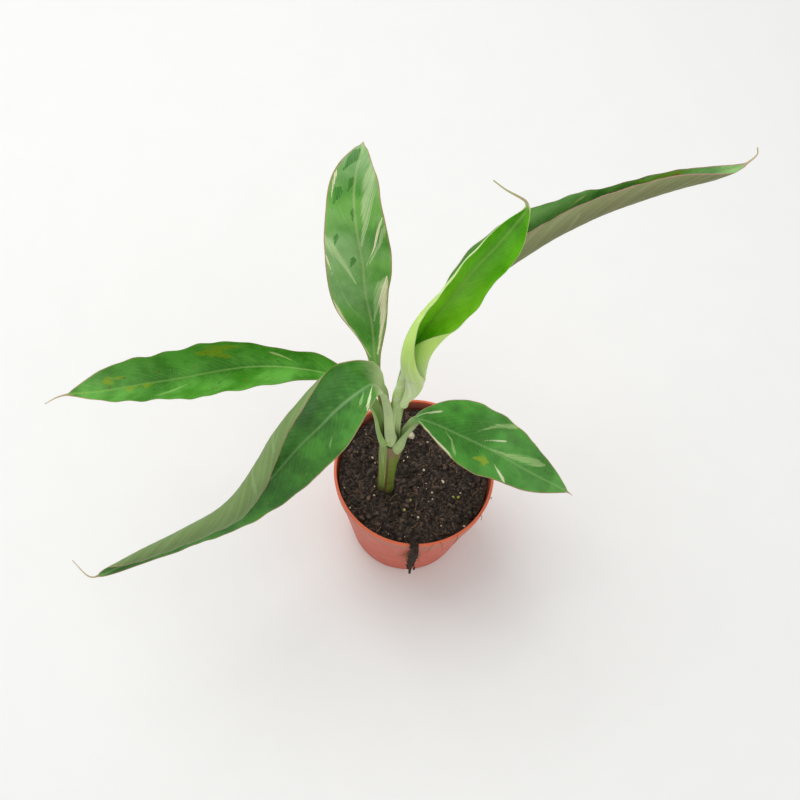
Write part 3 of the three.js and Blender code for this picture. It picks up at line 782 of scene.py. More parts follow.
def streak_fields(leaf, form):
    """How near each point lies to the leaf's streaks: 1 on a streak's middle, 0 on its edge.

    A streak is a broken line drawn on one half. It starts as a point and is widest near its other
    end. The result has pale, cream and dark streaks as three numbers, and rusty blotches as a fourth.
    """
    kinds = ("pale", "cream", "dark", "rust")
    fields = np.full((*form["reach"].shape, len(kinds)), -1.0)
    for kind, side, width, *places in leaf["streaks"]:
        line = np.array(places, dtype=float)
        line[:, 1] *= -1 if side == "left" else 1
        steps = np.linalg.norm(np.diff(line, axis=0), axis=1)
        index = kinds.index(kind)
        done = 0.0
        for start, end, step in zip(line[:-1], line[1:], steps):
            ahead = (end - start) / step
            off_s = form["s"] - start[0]
            off_x = form["reach"] - start[1]
            t = np.clip(off_s * ahead[0] + off_x * ahead[1], 0, step)
            far = np.hypot(off_s - t * ahead[0], off_x - t * ahead[1])
            share = (done + t) / steps.sum()
            wide = width * (0.25 + 0.95 * smoothstep(0, 0.75, share))
            wide = wide * (1 - 0.7 * smoothstep(0.85, 1, share))
            near = np.clip(1 - 2 * far / wide, -1, 1)
            fields[..., index] = np.maximum(fields[..., index], near)
            done += step
    return fields


def leaf_piece(leaf, form, materials):
    """One closed leaf: upper face, lower face joined at the margins, and a fan at each end."""
    rows, wide = form["reach"].shape
    ring = 2 * wide - 2
    marks = streak_fields(leaf, form)

    def around(upper, lower):
        return np.concatenate([upper, lower[:, wide - 2:0:-1]], axis=1)

    points = around(form["upper"], form["lower"])
    fields = {
        "lie": np.stack([form["vein"], form["reach"], form["past"]], axis=-1),
        "place": np.stack([form["margin"], marks[..., 3], np.zeros((rows, wide))], axis=-1),
        "marks": marks[..., :3],
    }
    for key, values in fields.items():
        values = around(values, values).reshape(-1, 3)
        fields[key] = np.vstack([values, values[[0, -1]]])
    faces = closed_faces(rows, ring)
    slots = np.concatenate([
        np.tile(np.arange(ring) >= wide - 1, rows - 1), np.zeros(2 * ring, dtype=bool),
    ])
    flat = np.vstack([points.reshape(-1, 3), points[0].mean(axis=0), points[-1].mean(axis=0)])
    return new_piece(leaf["name"] + "_grown", flat, faces, materials, fields, slots)


def leaf_material(name, leaf, upper, vein_spacing):
    """Living leaf: a waxy cuticle over green tissue, with slanting veins that part paler streaks.

    The fields that leaf_piece writes say where a point lies along a vein, across the blade and
    past the stalk, how far it is from the margin (all in mm), and how near to each kind of streak.
    Patchy green comes from noise of 25 mm, fine parallel streaks from noise stretched along the
    veins, and the placed streaks get ragged edges from it.
    """
    look = leaf["colours"]
    youngest = leaf["name"] == "leaf_new"
    blade = smooth_path(leaf["points"])[1][-1] - leaf["stalk"] - leaf["thread"]
    material, tree, shader = new_material(name)
    here = add(tree, "ShaderNodeTexCoord").outputs["Object"]
    lie, place, marks = (
        add(tree, "ShaderNodeAttribute", {"attribute_name": field}).outputs["Vector"]
        for field in ("lie", "place", "marks")
    )
    vein, reach, past = add(tree, "ShaderNodeSeparateXYZ", {}, {0: lie}).outputs
    margin, rusty, _ = add(tree, "ShaderNodeSeparateXYZ", {}, {0: place}).outputs
    nearness = add(tree, "ShaderNodeSeparateXYZ", {}, {0: marks}).outputs

    # Noise by cells per metre, detail and roughness: patches of 25 mm, a grain of 0.7 mm, patches of
    # painted sheen of 45 mm, mottling of 5 mm and loose groups 11 mm apart.
    patch, grain, sheen_patches, mottle, loose = (
        add(tree, "ShaderNodeTexNoise", {}, {
            "Vector": here, "Scale": scale, "Detail": detail, "Roughness": rough,
        })
        for scale, detail, rough in (
            (40.0, 4.0, 0.6), (1400.0, 2.0, 0.6), (22.0, 3.0, 0.6), (210.0, 4.0, 0.65), (90.0, 1.0, 0.5),
        )
    )
    # Noise stretched along the veins: fine streaks 1.2 mm apart and some 30 mm long, and broad
    # ones 6 mm apart and some 50 mm long.
    fine, broad = (
        add(tree, "ShaderNodeTexNoise", {}, {
            "Vector": add(tree, "ShaderNodeMapping", {}, {
                "Vector": lie, "Scale": stretch, "Location": start,
            }),
            "Scale": 1.0, "Detail": detail, "Roughness": rough,
        })
        for stretch, start, detail, rough in (
            ((0.85, 0.035, 0.0), (0.0, 0.0, 0.0), 5.0, 0.62),
            ((0.16, 0.02, 0.0), (3.0, 5.0, 2.0), 3.0, 0.5),
        )
    )
    # Raised lateral veins at their spacing, thin ones between them, and both a little wavy.
    wavy = add(tree, "ShaderNodeMath", MULTIPLY_ADD, {0: patch, 1: 4.5, 2: vein})
    main_vein, thin_vein = (
        add(tree, "ShaderNodeMath", {"operation": "SINE"}, {
            0: add(tree, "ShaderNodeMath", MULTIPLY, {0: wavy, 1: 2 * math.pi / spacing}),
        })
        for spacing in (vein_spacing, THIN_VEIN_SPACING)
    )
    across = add(tree, "ShaderNodeMath", {"operation": "ABSOLUTE"}, {0: reach})
    # Painted sheen: where a grey-green sheen is painted over the waxy bloom, in patches and more towards
    # the tip.
    sheen_spread = add(tree, "ShaderNodeMath", MULTIPLY_ADD, {0: past, 1: 0.3 / blade, 2: sheen_patches})
    # Flecks gather where the broad streaks are pale.
    gathered = add(tree, "ShaderNodeMath", MULTIPLY_ADD, {0: broad, 1: 0.6, 2: fine})
    mottled = add(tree, "ShaderNodeMath", MULTIPLY_ADD, {0: mottle, 1: 5.0, 2: rusty})
    ragged = add(tree, "ShaderNodeMath", MULTIPLY_ADD, {0: fine, 1: 2.6, 2: -1.3})
    pale, cream, dark = (
        add(tree, "ShaderNodeMath", {"operation": "ADD"}, {0: near, 1: ragged}) for near in nearness
    )
    cells = add(tree, "ShaderNodeTexVoronoi", {}, {"Vector": here, "Scale": 150.0, "Randomness": 1.0})

    vein_share = 0.06 if upper else 0.14
    fleck_from = 1.1 - 0.18 * leaf["flecks"]
    group_from = 0.72 - 0.16 * leaf["spots"]
    ranges = {
        "tone": (patch, 0.36, 0.62, 0.0, 1.0 if upper else 0.3),
        # Painted sheen: grey-green over the waxy bloom.
        "bloom": (sheen_spread, 0.5, 0.85, 0.0, leaf["bloom"]),
        "stripes": (broad, 0.42, 0.66, 0.0, 0.75),
        "flecks": (gathered, fleck_from, fleck_from + 0.09, 0.0, 0.3 + 0.5 * leaf["flecks"]),
        "veins": (main_vein, 0.3, 1.0, 0.0, vein_share),
        "lines": (thin_vein, 0.2, 1.0, 0.0, vein_share),
        "pale": (pale, -0.05, 0.5, 0.0, 0.78),
        "cream": (cream, -0.05, 0.5, 0.0, 0.95),
        "dark": (dark, -0.05, 0.15, 0.0, 0.85),
        # Thin green lines are left in the streaks.
        "kept": (fine, 0.36, 0.56, 0.5, 1.0),
        "blotch": (mottled, 2.2, 3.2, 0.0, 0.75),
        "rust": (mottled, 3.6, 4.1, 0.0, 0.7),
        # Rusty dots 1 to 2 mm across.
        "dots": (cells, 0.07, 0.16, 1.0, 0.0),
        "groups": (loose, group_from, group_from + 0.04, 0.0, 0.8),
        "rib": (across, 0.3, 1.2, 0.6, 0.0),
        "edge": (margin, 0.35, 0.95, 0.75, 0.0),
        "stalk": (past, -9.0, 4.0, 1.0, 0.0),
        "thread": (past, blade - 2, blade + 5, 0.0, 0.9),
        # Painted light: a brighter yellow-green near the youngest leaf's roll, for light that comes
        # through its thin blade.
        "painted_glow": (past, 70.0, 150.0, 0.85, 0.0),
        "rolled": (past, 35.0, 75.0, 1.0 if upper else 0.0, 1.0),
    }
    limits = {"pale": "kept", "cream": "kept", "dark": "kept", "dots": "groups", "painted_glow": "rolled"}
    # Layers from the bottom up. A colour is one of the leaf's own or a hex value.
    if upper:
        base, glossy, matt = look["deep"], 0.24, 0.42
        layers = [
            ("tone", "mid"), ("bloom", "#98b688"), ("flecks", "pale"), ("veins", "pale"),
            ("lines", "deep"), ("dark", "#2a7418"), ("pale", "pale"), ("cream", "cream"),
            ("blotch", "#93a81e"), ("rust", "#a8602a"), ("dots", "#8a4a22"), ("rib", "midrib"),
        ]
    else:
        base, glossy, matt = look["under"], 0.5, 0.66
        layers = [
            ("stripes", "under_pale"), ("tone", "under_dark"), ("lines", "under_dark"),
            ("flecks", "under_dark"), ("veins", "under_pale"), ("pale", "under_pale"),
            ("cream", "cream"), ("dots", "#8a6a3c"), ("rib", "stalk"),
        ]
    layers += [("edge", "margin"), ("stalk", "stalk"), ("thread", "#b9a985")]
    # Painted light: the blade of the youngest leaf is painted a brighter yellow-green where it leaves the
    # roll, standing in for light that comes through the thin blade.
    if youngest:
        layers.insert(1, ("painted_glow", "#a8e83a" if upper else "#bfea66"))
    layers = [(key, look.get(over, over)) for key, over in layers]
    # Small uneven lightness, so no stretch of the leaf is one flat colour.
    shade = add(tree, "ShaderNodeMath", MULTIPLY_ADD, {0: patch, 1: 1.6, 2: fine})
    shade = add(tree, "ShaderNodeMapRange", {}, {0: shade, 1: 0.9, 2: 1.7, 3: 0.84, 4: 1.14})
    speck = add(tree, "ShaderNodeMapRange", {}, {0: grain, 1: 0.3, 2: 0.7, 3: 0.95, 4: 1.05})
    shade = add(tree, "ShaderNodeMath", MULTIPLY, {0: shade, 1: speck})
    height = add(tree, "ShaderNodeMath", MULTIPLY_ADD, {0: thin_vein, 1: 0.22, 2: main_vein})
    height = add(tree, "ShaderNodeMath", MULTIPLY_ADD, {0: fine, 1: 1.2, 2: height})
    # Light that enters the thin blade comes out a few millimetres away, yellower.
    connect(tree, shader, {
        "Base Color": coated(tree, linear(base), layers, ranges, limits, shade),
        "Roughness": add(tree, "ShaderNodeMapRange", {}, {0: patch, 1: 0.3, 2: 0.7, 3: glossy, 4: matt}),
        "Normal": add(tree, "ShaderNodeBump", {}, {
            "Strength": 1.0, "Distance": 0.03 * MM, "Height": height,
        }),
        "IOR": 1.45,
        "Specular IOR Level": 0.45 if upper else 0.3,
        "Subsurface Weight": 0.35 if youngest else 0.15,
        "Subsurface Radius": (0.7, 1.0, 0.25),
        "Subsurface Scale": 2 * MM,
    })
    return material


def pot_material(settings):
    """Moulded polypropylene: a flat terracotta plastic with a low, broad shine.

    The lip is the cleanest and brightest. Below it the collar and wall are dulled by dried dust,
    old runs of water and a few specks of soil, and the moulding leaves the faintest ripple. The
    inside of the wall above the soil is painted darker, as painted shade under the rim.
    """
    material, tree, shader = new_material("pot_polypropylene_moulded")
    here = add(tree, "ShaderNodeTexCoord").outputs["Object"]
    x, y, height = add(tree, "ShaderNodeSeparateXYZ", {}, {0: here}).outputs
    flat = add(tree, "ShaderNodeCombineXYZ", {}, {0: x, 1: y})
    radius = add(tree, "ShaderNodeVectorMath", {"operation": "LENGTH"}, {0: flat}).outputs["Value"]
    # Clouds of 12 mm, a grain of 1 mm, runs 4 mm apart and 80 mm long, and specks 5 mm apart.
    cloud, grain = (
        add(tree, "ShaderNodeTexNoise", {}, {
            "Vector": here, "Scale": scale, "Detail": detail, "Roughness": rough,
        })
        for scale, detail, rough in ((85.0, 8.0, 0.72), (900.0, 3.0, 0.7))
    )
    upright = add(tree, "ShaderNodeMapping", {}, {"Vector": here, "Scale": (260.0, 260.0, 12.0)})
    runs = add(tree, "ShaderNodeTexNoise", {}, {"Vector": upright, "Scale": 1.0, "Detail": 3.0})
    specks = add(tree, "ShaderNodeTexVoronoi", {}, {"Vector": here, "Scale": 210.0})

    lip_low = POT_HEIGHT - 3.2
    collar_low = SHOULDER - 0.8
    inner_radius = RIM_RADIUS - 2.8
    ranges = {
        "collar": (height, collar_low * MM, (collar_low + 1.4) * MM, 0.0, 1.0),
        "water": (runs, 0.52, 0.7, 0.0, 0.35),
        "dust": (cloud, 0.35, 0.75, 0.04, 0.3),
        # Painted shade: the inner face of the wall above the soil is painted darker, for the shade under
        # the rim.
        "inside": (radius, inner_radius * MM, (inner_radius + 1) * MM, 1.0, 0.0),
        "lip": (height, lip_low * MM, (lip_low + 1) * MM, 0.0, 1.0),
        "dirt": (specks, 0.06, 0.13, 1.0, 0.0),
        "grouped": (cloud, 0.5, 0.6, 0.0, 0.75),
    }
    limits = {"inside": "collar", "dirt": "grouped"}
    layers = [
        ("collar", tuple(settings.collar_colour)), ("water", "#c07860"),
        ("dust", tuple(settings.dust_colour)), ("inside", "#8a4434"),
        ("lip", tuple(settings.rim_colour)), ("dirt", "#4a3026"),
    ]
    shade = add(tree, "ShaderNodeMapRange", {}, {0: grain, 1: 0.3, 2: 0.7, 3: 0.9, 4: 1.08})
    relief = add(tree, "ShaderNodeMath", MULTIPLY_ADD, {0: runs, 1: 1.5, 2: grain})
    connect(tree, shader, {
        "Base Color": coated(tree, tuple(settings.wall_colour), layers, ranges, limits, shade),
        "Roughness": add(tree, "ShaderNodeMapRange", {}, {0: cloud, 1: 0.35, 2: 0.65, 3: 0.38, 4: 0.62}),
        "Normal": add(tree, "ShaderNodeBump", {}, {
            "Strength": 0.6, "Distance": 0.06 * MM, "Height": relief,
        }),
        "IOR": 1.49,
    })
    return material


def crumb_material(name, dark, mid, light, roughness, scale):
    """Loose growing mix, such as peat, bark or perlite: matt, with light and dark grains in it."""
    material, tree, shader = new_material(name)
    here = add(tree, "ShaderNodeTexCoord").outputs["Object"]
    cloud, grain = (
        add(tree, "ShaderNodeTexNoise", {}, {
            "Vector": here, "Scale": scale * finer, "Detail": detail, "Roughness": 0.7,
        })
        for finer, detail in ((1, 5.0), (6, 3.0))
    )
    mixed = add(tree, "ShaderNodeMath", MULTIPLY_ADD, {0: grain, 1: 0.5, 2: cloud})
    connect(tree, shader, {
        "Base Color": add(
            tree, "ShaderNodeValToRGB", {}, {0: mixed}, [(0.55, dark), (0.75, mid), (0.98, light)],
        ),
        "Roughness": add(tree, "ShaderNodeMapRange", {}, {
            0: cloud, 1: 0.3, 2: 0.7, 3: roughness - 0.12, 4: roughness,
        }),
        "Normal": add(tree, "ShaderNodeBump", {}, {
            "Strength": 1.0, "Distance": 0.25 * MM, "Height": mixed,
        }),
        "Specular IOR Level": 0.25,
    })
    return material


def stem_material():
    """Layered leaf sheaths: a waxy, ribbed green skin under an older, olive and browning one.

    The field sheath holds how far a point is inside the old sheath (mm), its height (mm) and its
    angle round the stem. Lengthwise fibres some 0.6 mm apart give the ribbing.
    """
    material, tree, shader = new_material("leaf_sheath_living")
    here = add(tree, "ShaderNodeTexCoord").outputs["Object"]
    sheath = add(tree, "ShaderNodeAttribute", {"attribute_name": "sheath"}).outputs["Vector"]
    inside, height, _ = add(tree, "ShaderNodeSeparateXYZ", {}, {0: sheath}).outputs
    upright = add(tree, "ShaderNodeMapping", {}, {"Vector": sheath, "Scale": (1.6, 0.03, 0.0)})
    fibre = add(tree, "ShaderNodeTexNoise", {}, {
        "Vector": upright, "Scale": 1.0, "Detail": 4.0, "Roughness": 0.6,
    })
    cloud = add(tree, "ShaderNodeTexNoise", {}, {
        "Vector": here, "Scale": 120.0, "Detail": 5.0, "Roughness": 0.6,
    })
    uneven = add(tree, "ShaderNodeMath", MULTIPLY_ADD, {0: cloud, 1: 22.0, 2: height})

    ranges = {
        "streaked": (fibre, 0.5, 0.7, 0.0, 0.6),
        "old": (inside, -0.2, 0.3, 0.0, 1.0),
        "blots": (cloud, 0.56, 0.68, 0.0, 0.55),
        "rim": (inside, 1.0, 2.8, 0.8, 0.0),
        "rim_start": (inside, -0.3, 0.1, 0.0, 1.0),
        "brown": (uneven, 152.0, 172.0, 0.0, 0.75),
        "foot": (uneven, 97.0, 112.0, 0.8, 0.0),
    }
    limits = {"blots": "old", "rim": "rim_start", "brown": "old"}
    layers = [
        ("streaked", "#aebf7c"), ("old", "#74892f"), ("blots", "#6a5436"), ("rim", "#6a3a2e"),
        ("brown", "#8a6450"), ("foot", "#57462f"),
    ]
    shade = add(tree, "ShaderNodeMapRange", {}, {0: fibre, 1: 0.3, 2: 0.7, 3: 0.78, 4: 1.18})
    connect(tree, shader, {
        "Base Color": coated(tree, linear("#7f9c48"), layers, ranges, limits, shade),
        "Roughness": add(tree, "ShaderNodeMapRange", {}, {0: cloud, 1: 0.3, 2: 0.7, 3: 0.4, 4: 0.62}),
        "Normal": add(tree, "ShaderNodeBump", {}, {
            "Strength": 0.9, "Distance": 0.18 * MM, "Height": fibre,
        }),
        "Specular IOR Level": 0.45,
    })
    return material


def water_material():
    """Clear water: no colour of its own, smooth, and bent light at its rim."""
    material, tree, shader = new_material("water_clear")
    here = add(tree, "ShaderNodeTexCoord").outputs["Object"]
    swirl = add(tree, "ShaderNodeTexNoise", {}, {"Vector": here, "Scale": 500.0, "Detail": 1.0})
    connect(tree, shader, {
        "Base Color": (1.0, 1.0, 1.0, 1.0),
        "Roughness": add(tree, "ShaderNodeMapRange", {}, {0: swirl, 3: 0.0, 4: 0.05}),
        "Transmission Weight": 1.0,
        "IOR": 1.333,
    })
    return material


def stage_material(settings):
    """Matt white board: almost white, with a barely uneven tooth."""
    material, tree, shader = new_material("stage_board_matt")
    here = add(tree, "ShaderNodeTexCoord").outputs["Object"]
    tooth = add(tree, "ShaderNodeTexNoise", {}, {"Vector": here, "Scale": 30.0, "Detail": 3.0})
    board = add(tree, "ShaderNodeMix", RGBA, {
        0: tooth, 6: tuple(settings.floor_colour), 7: linear("#f6f6f4"),
    })
    connect(tree, shader, {
        "Base Color": board.outputs[2], "Roughness": 0.9, "Specular IOR Level": 0.1,
    })
    return material


def colour_setting(name, description, colour):
    """A colour in the panel, from its sRGB hex value."""
    return FloatVectorProperty(
        name=name, description=description, default=linear(colour), size=4, subtype="COLOR",
    )


def length_setting(name, description, millimetres):
    """A small length in the panel."""
    return FloatProperty(
        name=name, description=description, default=millimetres * MM, unit="LENGTH", precision=5,
    )


class BananaPotSettings(bpy.types.PropertyGroup):
    """Looks of the nursery pot."""

    segments: IntProperty(
        name="Segments", description="Faces round the pot, in sixths", default=192, min=48, max=384,
    )
    edge_radius: length_setting("Edge radius", "Rounding of the moulded edges", 0.35)
    rim_colour: colour_setting("Rim", "Colour of the clean lip", "#e06a45")
    collar_colour: colour_setting("Collar", "Colour of the band under the lip", "#bd6a52")
    wall_colour: colour_setting("Wall", "Colour of the tapered wall", "#cc4e30")
    dust_colour: colour_setting("Dust", "Colour of dried dust on the wall", "#c2907c")


class BananaSoilSettings(bpy.types.PropertyGroup):
    """Looks of the soil."""

    relief_crumbs: IntProperty(
        name="Relief crumbs", description="Round crumbs that shape the soil's top", default=2600,
    )
    loose_crumbs: IntProperty(
        name="Loose crumbs", description="Separate crumbs on the soil", default=1200,
    )
    chips: IntProperty(name="Bark chips", description="Flat chips of bark", default=240)
    fibres: IntProperty(name="Fibres", description="Loose root and coir fibres", default=46)
    perlite: IntProperty(name="Perlite", description="White and cream grains", default=30)
    seed: IntProperty(name="Seed", description="Start of the random scatter", default=11)


class BananaLeafSettings(bpy.types.PropertyGroup):
    """Shape and veins that all leaves share."""

    thickness: length_setting("Thickness", "Thickness of the blade", 0.45)
    ripple: FloatProperty(
        name="Ripple", description="Share of the waves along the margins", default=1.0,
        subtype="FACTOR", min=0.0, max=2.0,
    )
    vein_spacing: length_setting("Vein spacing", "Distance between lateral veins", 4.5)
    vein_depth: length_setting("Vein depth", "Height of the pleats, which span two veins", 0.05)
    drops: IntProperty(name="Drops", description="Water drops scattered on the left leaf", default=26)


class BananaStageSettings(bpy.types.PropertyGroup):
    """Camera, floor and light."""

    distance: FloatProperty(
        name="Distance", description="From the camera to the middle of the rim", default=1.15,
        unit="LENGTH",
    )
    elevation: FloatProperty(
        name="Elevation", description="Angle of the camera above the floor",
        default=math.radians(65.5), subtype="ANGLE",
    )
    roll: FloatProperty(
        name="Roll", description="Turn of the camera about its view", default=math.radians(10.4),
        subtype="ANGLE",
    )
    lens: FloatProperty(
        name="Focal length", description="For a sensor 36 mm wide", default=69.2, subtype="NONE",
    )
    floor_colour: colour_setting("Floor", "Colour of the floor", "#f3f3f1")
    key_power: FloatProperty(name="Key light", description="Power in watts", default=12.5)
    fill_power: FloatProperty(name="Fill light", description="Power in watts", default=3.5)
    sky: FloatProperty(name="Sky", description="Strength of the even light", default=0.6)


class BananaSettings(bpy.types.PropertyGroup):
    """All settings of the plant and its stage."""

    pot: PointerProperty(type=BananaPotSettings)
    soil: PointerProperty(type=BananaSoilSettings)
    leaf: PointerProperty(type=BananaLeafSettings)
    stage: PointerProperty(type=BananaStageSettings)


def forms_of(settings):
    """The surfaces of all leaves, by name."""
    leaf = settings.leaf
    sizes = (leaf.thickness / MM, leaf.ripple, leaf.vein_spacing / MM, leaf.vein_depth / MM)
    return {row["name"]: leaf_form(row, *sizes) for row in LEAVES}


class BananaMakePot(bpy.types.Operator):
    """Turned pot wall, foot and lip, with six drain holes cut through the floor."""

    bl_idname = "banana.make_pot"
    bl_label = "Pot"

    def execute(self, context):
        """The profile is turned round the Z axis. The floor between its two radii is six cells.

        In a cell each point of the border is joined to the point of the hole that lies in the
        same direction, by a straight run of five points.
        """
        settings = context.scene.banana.pot
        segments = 6 * max(8, round(settings.segments / 6))
        inner_top = RIM_RADIUS - WALL - 0.4
        collar_low = BODY_TOP + COLLAR_STEP
        outer = [
            (FLOOR_OUTER, FOOT_RECESS), (BASE_RADIUS - 6, FOOT_RECESS), (BASE_RADIUS - 4.6, 0),
            (BASE_RADIUS - 0.6, 0), (BASE_RADIUS, 0.6), (BODY_TOP, SHOULDER),
            (collar_low, SHOULDER + 0.6), (RIM_RADIUS - 0.5, POT_HEIGHT - 3),
            (RIM_RADIUS, POT_HEIGHT - 2.4), (RIM_RADIUS, POT_HEIGHT - 0.5),
            (RIM_RADIUS - 0.5, POT_HEIGHT), (inner_top + 0.3, POT_HEIGHT),
            (inner_top, POT_HEIGHT - 0.4), (collar_low - WALL, SHOULDER),
            (BODY_TOP - WALL, SHOULDER - 2), (BASE_RADIUS - WALL, FLOOR_TOP + 1),
            (BASE_RADIUS - WALL - 1, FLOOR_TOP), (FLOOR_OUTER, FLOOR_TOP),
        ]
        boss = [
            (0.01, 0), (FOOT_BOSS, 0), (FOOT_BOSS + 1.4, FOOT_RECESS), (FLOOR_INNER, FOOT_RECESS),
        ]
        inner = [(FLOOR_INNER, FLOOR_TOP), (FLOOR_INNER / 2, FLOOR_TOP), (0.01, FLOOR_TOP)]
        parts = [
            (lathe(profile, segments), grid_faces(len(profile), segments))
            for profile in (rounded(outer, settings.edge_radius / MM), rounded(boss, 0.3), inner)
        ]

        # The border of one floor cell, gone round once.
        per = segments // DRAIN_HOLES
        half = np.pi / DRAIN_HOLES
        steps = 12
        swing = np.linspace(-half, half, per + 1)[:-1]
        straight = np.linspace(FLOOR_INNER, FLOOR_OUTER, steps + 1)[:-1]
        inwards = straight[::-1] + (FLOOR_OUTER - FLOOR_INNER) / steps
        r = np.concatenate([np.full(per, FLOOR_INNER), straight, np.full(per, FLOOR_OUTER), inwards])
        a = np.concatenate([swing, np.full(steps, half), -swing, np.full(steps, -half)])
        border = np.stack([r * np.cos(a), r * np.sin(a)], axis=1)
        hole = [DRAIN_CIRCLE, 0] + DRAIN_RADIUS * unit(border - [DRAIN_CIRCLE, 0])
        sheet = hole + (border - hole) * np.linspace(0, 1, 5)[:, None, None]
        for k in range(DRAIN_HOLES):
            turn = 2 * np.pi * (k + 0.5) / DRAIN_HOLES
            spin = np.array([[np.cos(turn), np.sin(turn)], [-np.sin(turn), np.cos(turn)]])
            flat = sheet @ spin
            low, high = (
                np.concatenate([flat, np.full((*flat.shape[:2], 1), level)], axis=-1)
                for level in (FOOT_RECESS, FLOOR_TOP)
            )
            for grid in (low, high, np.stack([low[0], high[0]])):
                parts.append((grid.reshape(-1, 3), grid_faces(len(grid), flat.shape[1])))
        shift = np.concatenate([[0], np.cumsum([len(p) for p, _ in parts])[:-1]])
        faces = np.vstack([f + n for (_, f), n in zip(parts, shift)])
        count = sum(len(p) for p, _ in parts)
        boss_ring = shift[1] + np.arange(segments)
        inner_ring = shift[2] + 2 * segments + np.arange(segments)
        caps = np.vstack([
            fan_faces(boss_ring, count, False), fan_faces(inner_ring, count + 1, True),
        ])
        points = np.vstack([*(p for p, _ in parts), [0, 0, 0], [0, 0, FLOOR_TOP]])
        piece = new_piece("pot_moulded", points, [faces, caps], [pot_material(settings)])
        outward(piece)
        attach(piece, "root")
        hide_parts("pot")
        return {"FINISHED"}


class BananaMakeSoil(bpy.types.Operator):
    """Crumbly body of growing mix that fills the pot round the stem."""

    bl_idname = "banana.make_soil"
    bl_label = "Soil"

    def execute(self, context):
        """Rings run from the stem's outline out to the wall by straight steps, at soil height.

        Crumb relief is added to the top. The skin goes on down the wall to the floor, and down
        a plain hole round the stem.
        """
        settings = context.scene.banana.soil
        sectors = 420
        rings = 118
        turn = circle(sectors)
        stem_x, stem_y = stem_outline(turn, SOIL_TOP, SOIL_GAP - STEM_SLIM)
        t = np.linspace(0, 1, rings)[:, None]
        x = stem_x + (SOIL_EDGE * np.cos(turn) - stem_x) * t
        y = stem_y + (SOIL_EDGE * np.sin(turn) - stem_y) * t
        rise = crumb_relief(x, y, settings.relief_crumbs, settings.seed)
        z = soil_height(x, y) + 0.8 * rise * np.minimum(1, 6 * (1 - t) + 0.15)
        wall = [
            (SOIL_EDGE, SHOULDER - 2.4), (BASE_RADIUS - WALL - 0.3, FLOOR_TOP + 1.3),
            (BASE_RADIUS - WALL - 1.3, FLOOR_TOP + 0.3),
        ]
        low_x, low_y = stem_outline(turn, STEM_BOTTOM, SOIL_GAP - STEM_SLIM)
        hole = np.stack([low_x, low_y, np.full(sectors, STEM_BOTTOM - 0.3)], axis=-1)
        points = np.vstack([
            hole, np.stack([x, y, z], axis=-1).reshape(-1, 3), lathe(wall, sectors),
            [STEM_X, STEM_Y, STEM_BOTTOM - 1.8], [0, 0, FLOOR_TOP + 0.3],
        ])
        faces = closed_faces(1 + rings + len(wall), sectors)
        material = crumb_material("soil_peat_damp", "#100d0b", "#332a24", "#705f50", 0.9, 380.0)
        piece = new_piece("soil_crumbly", points, faces, [material])
        outward(piece)
        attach(piece, "root")
        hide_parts("soil")
        return {"FINISHED"}


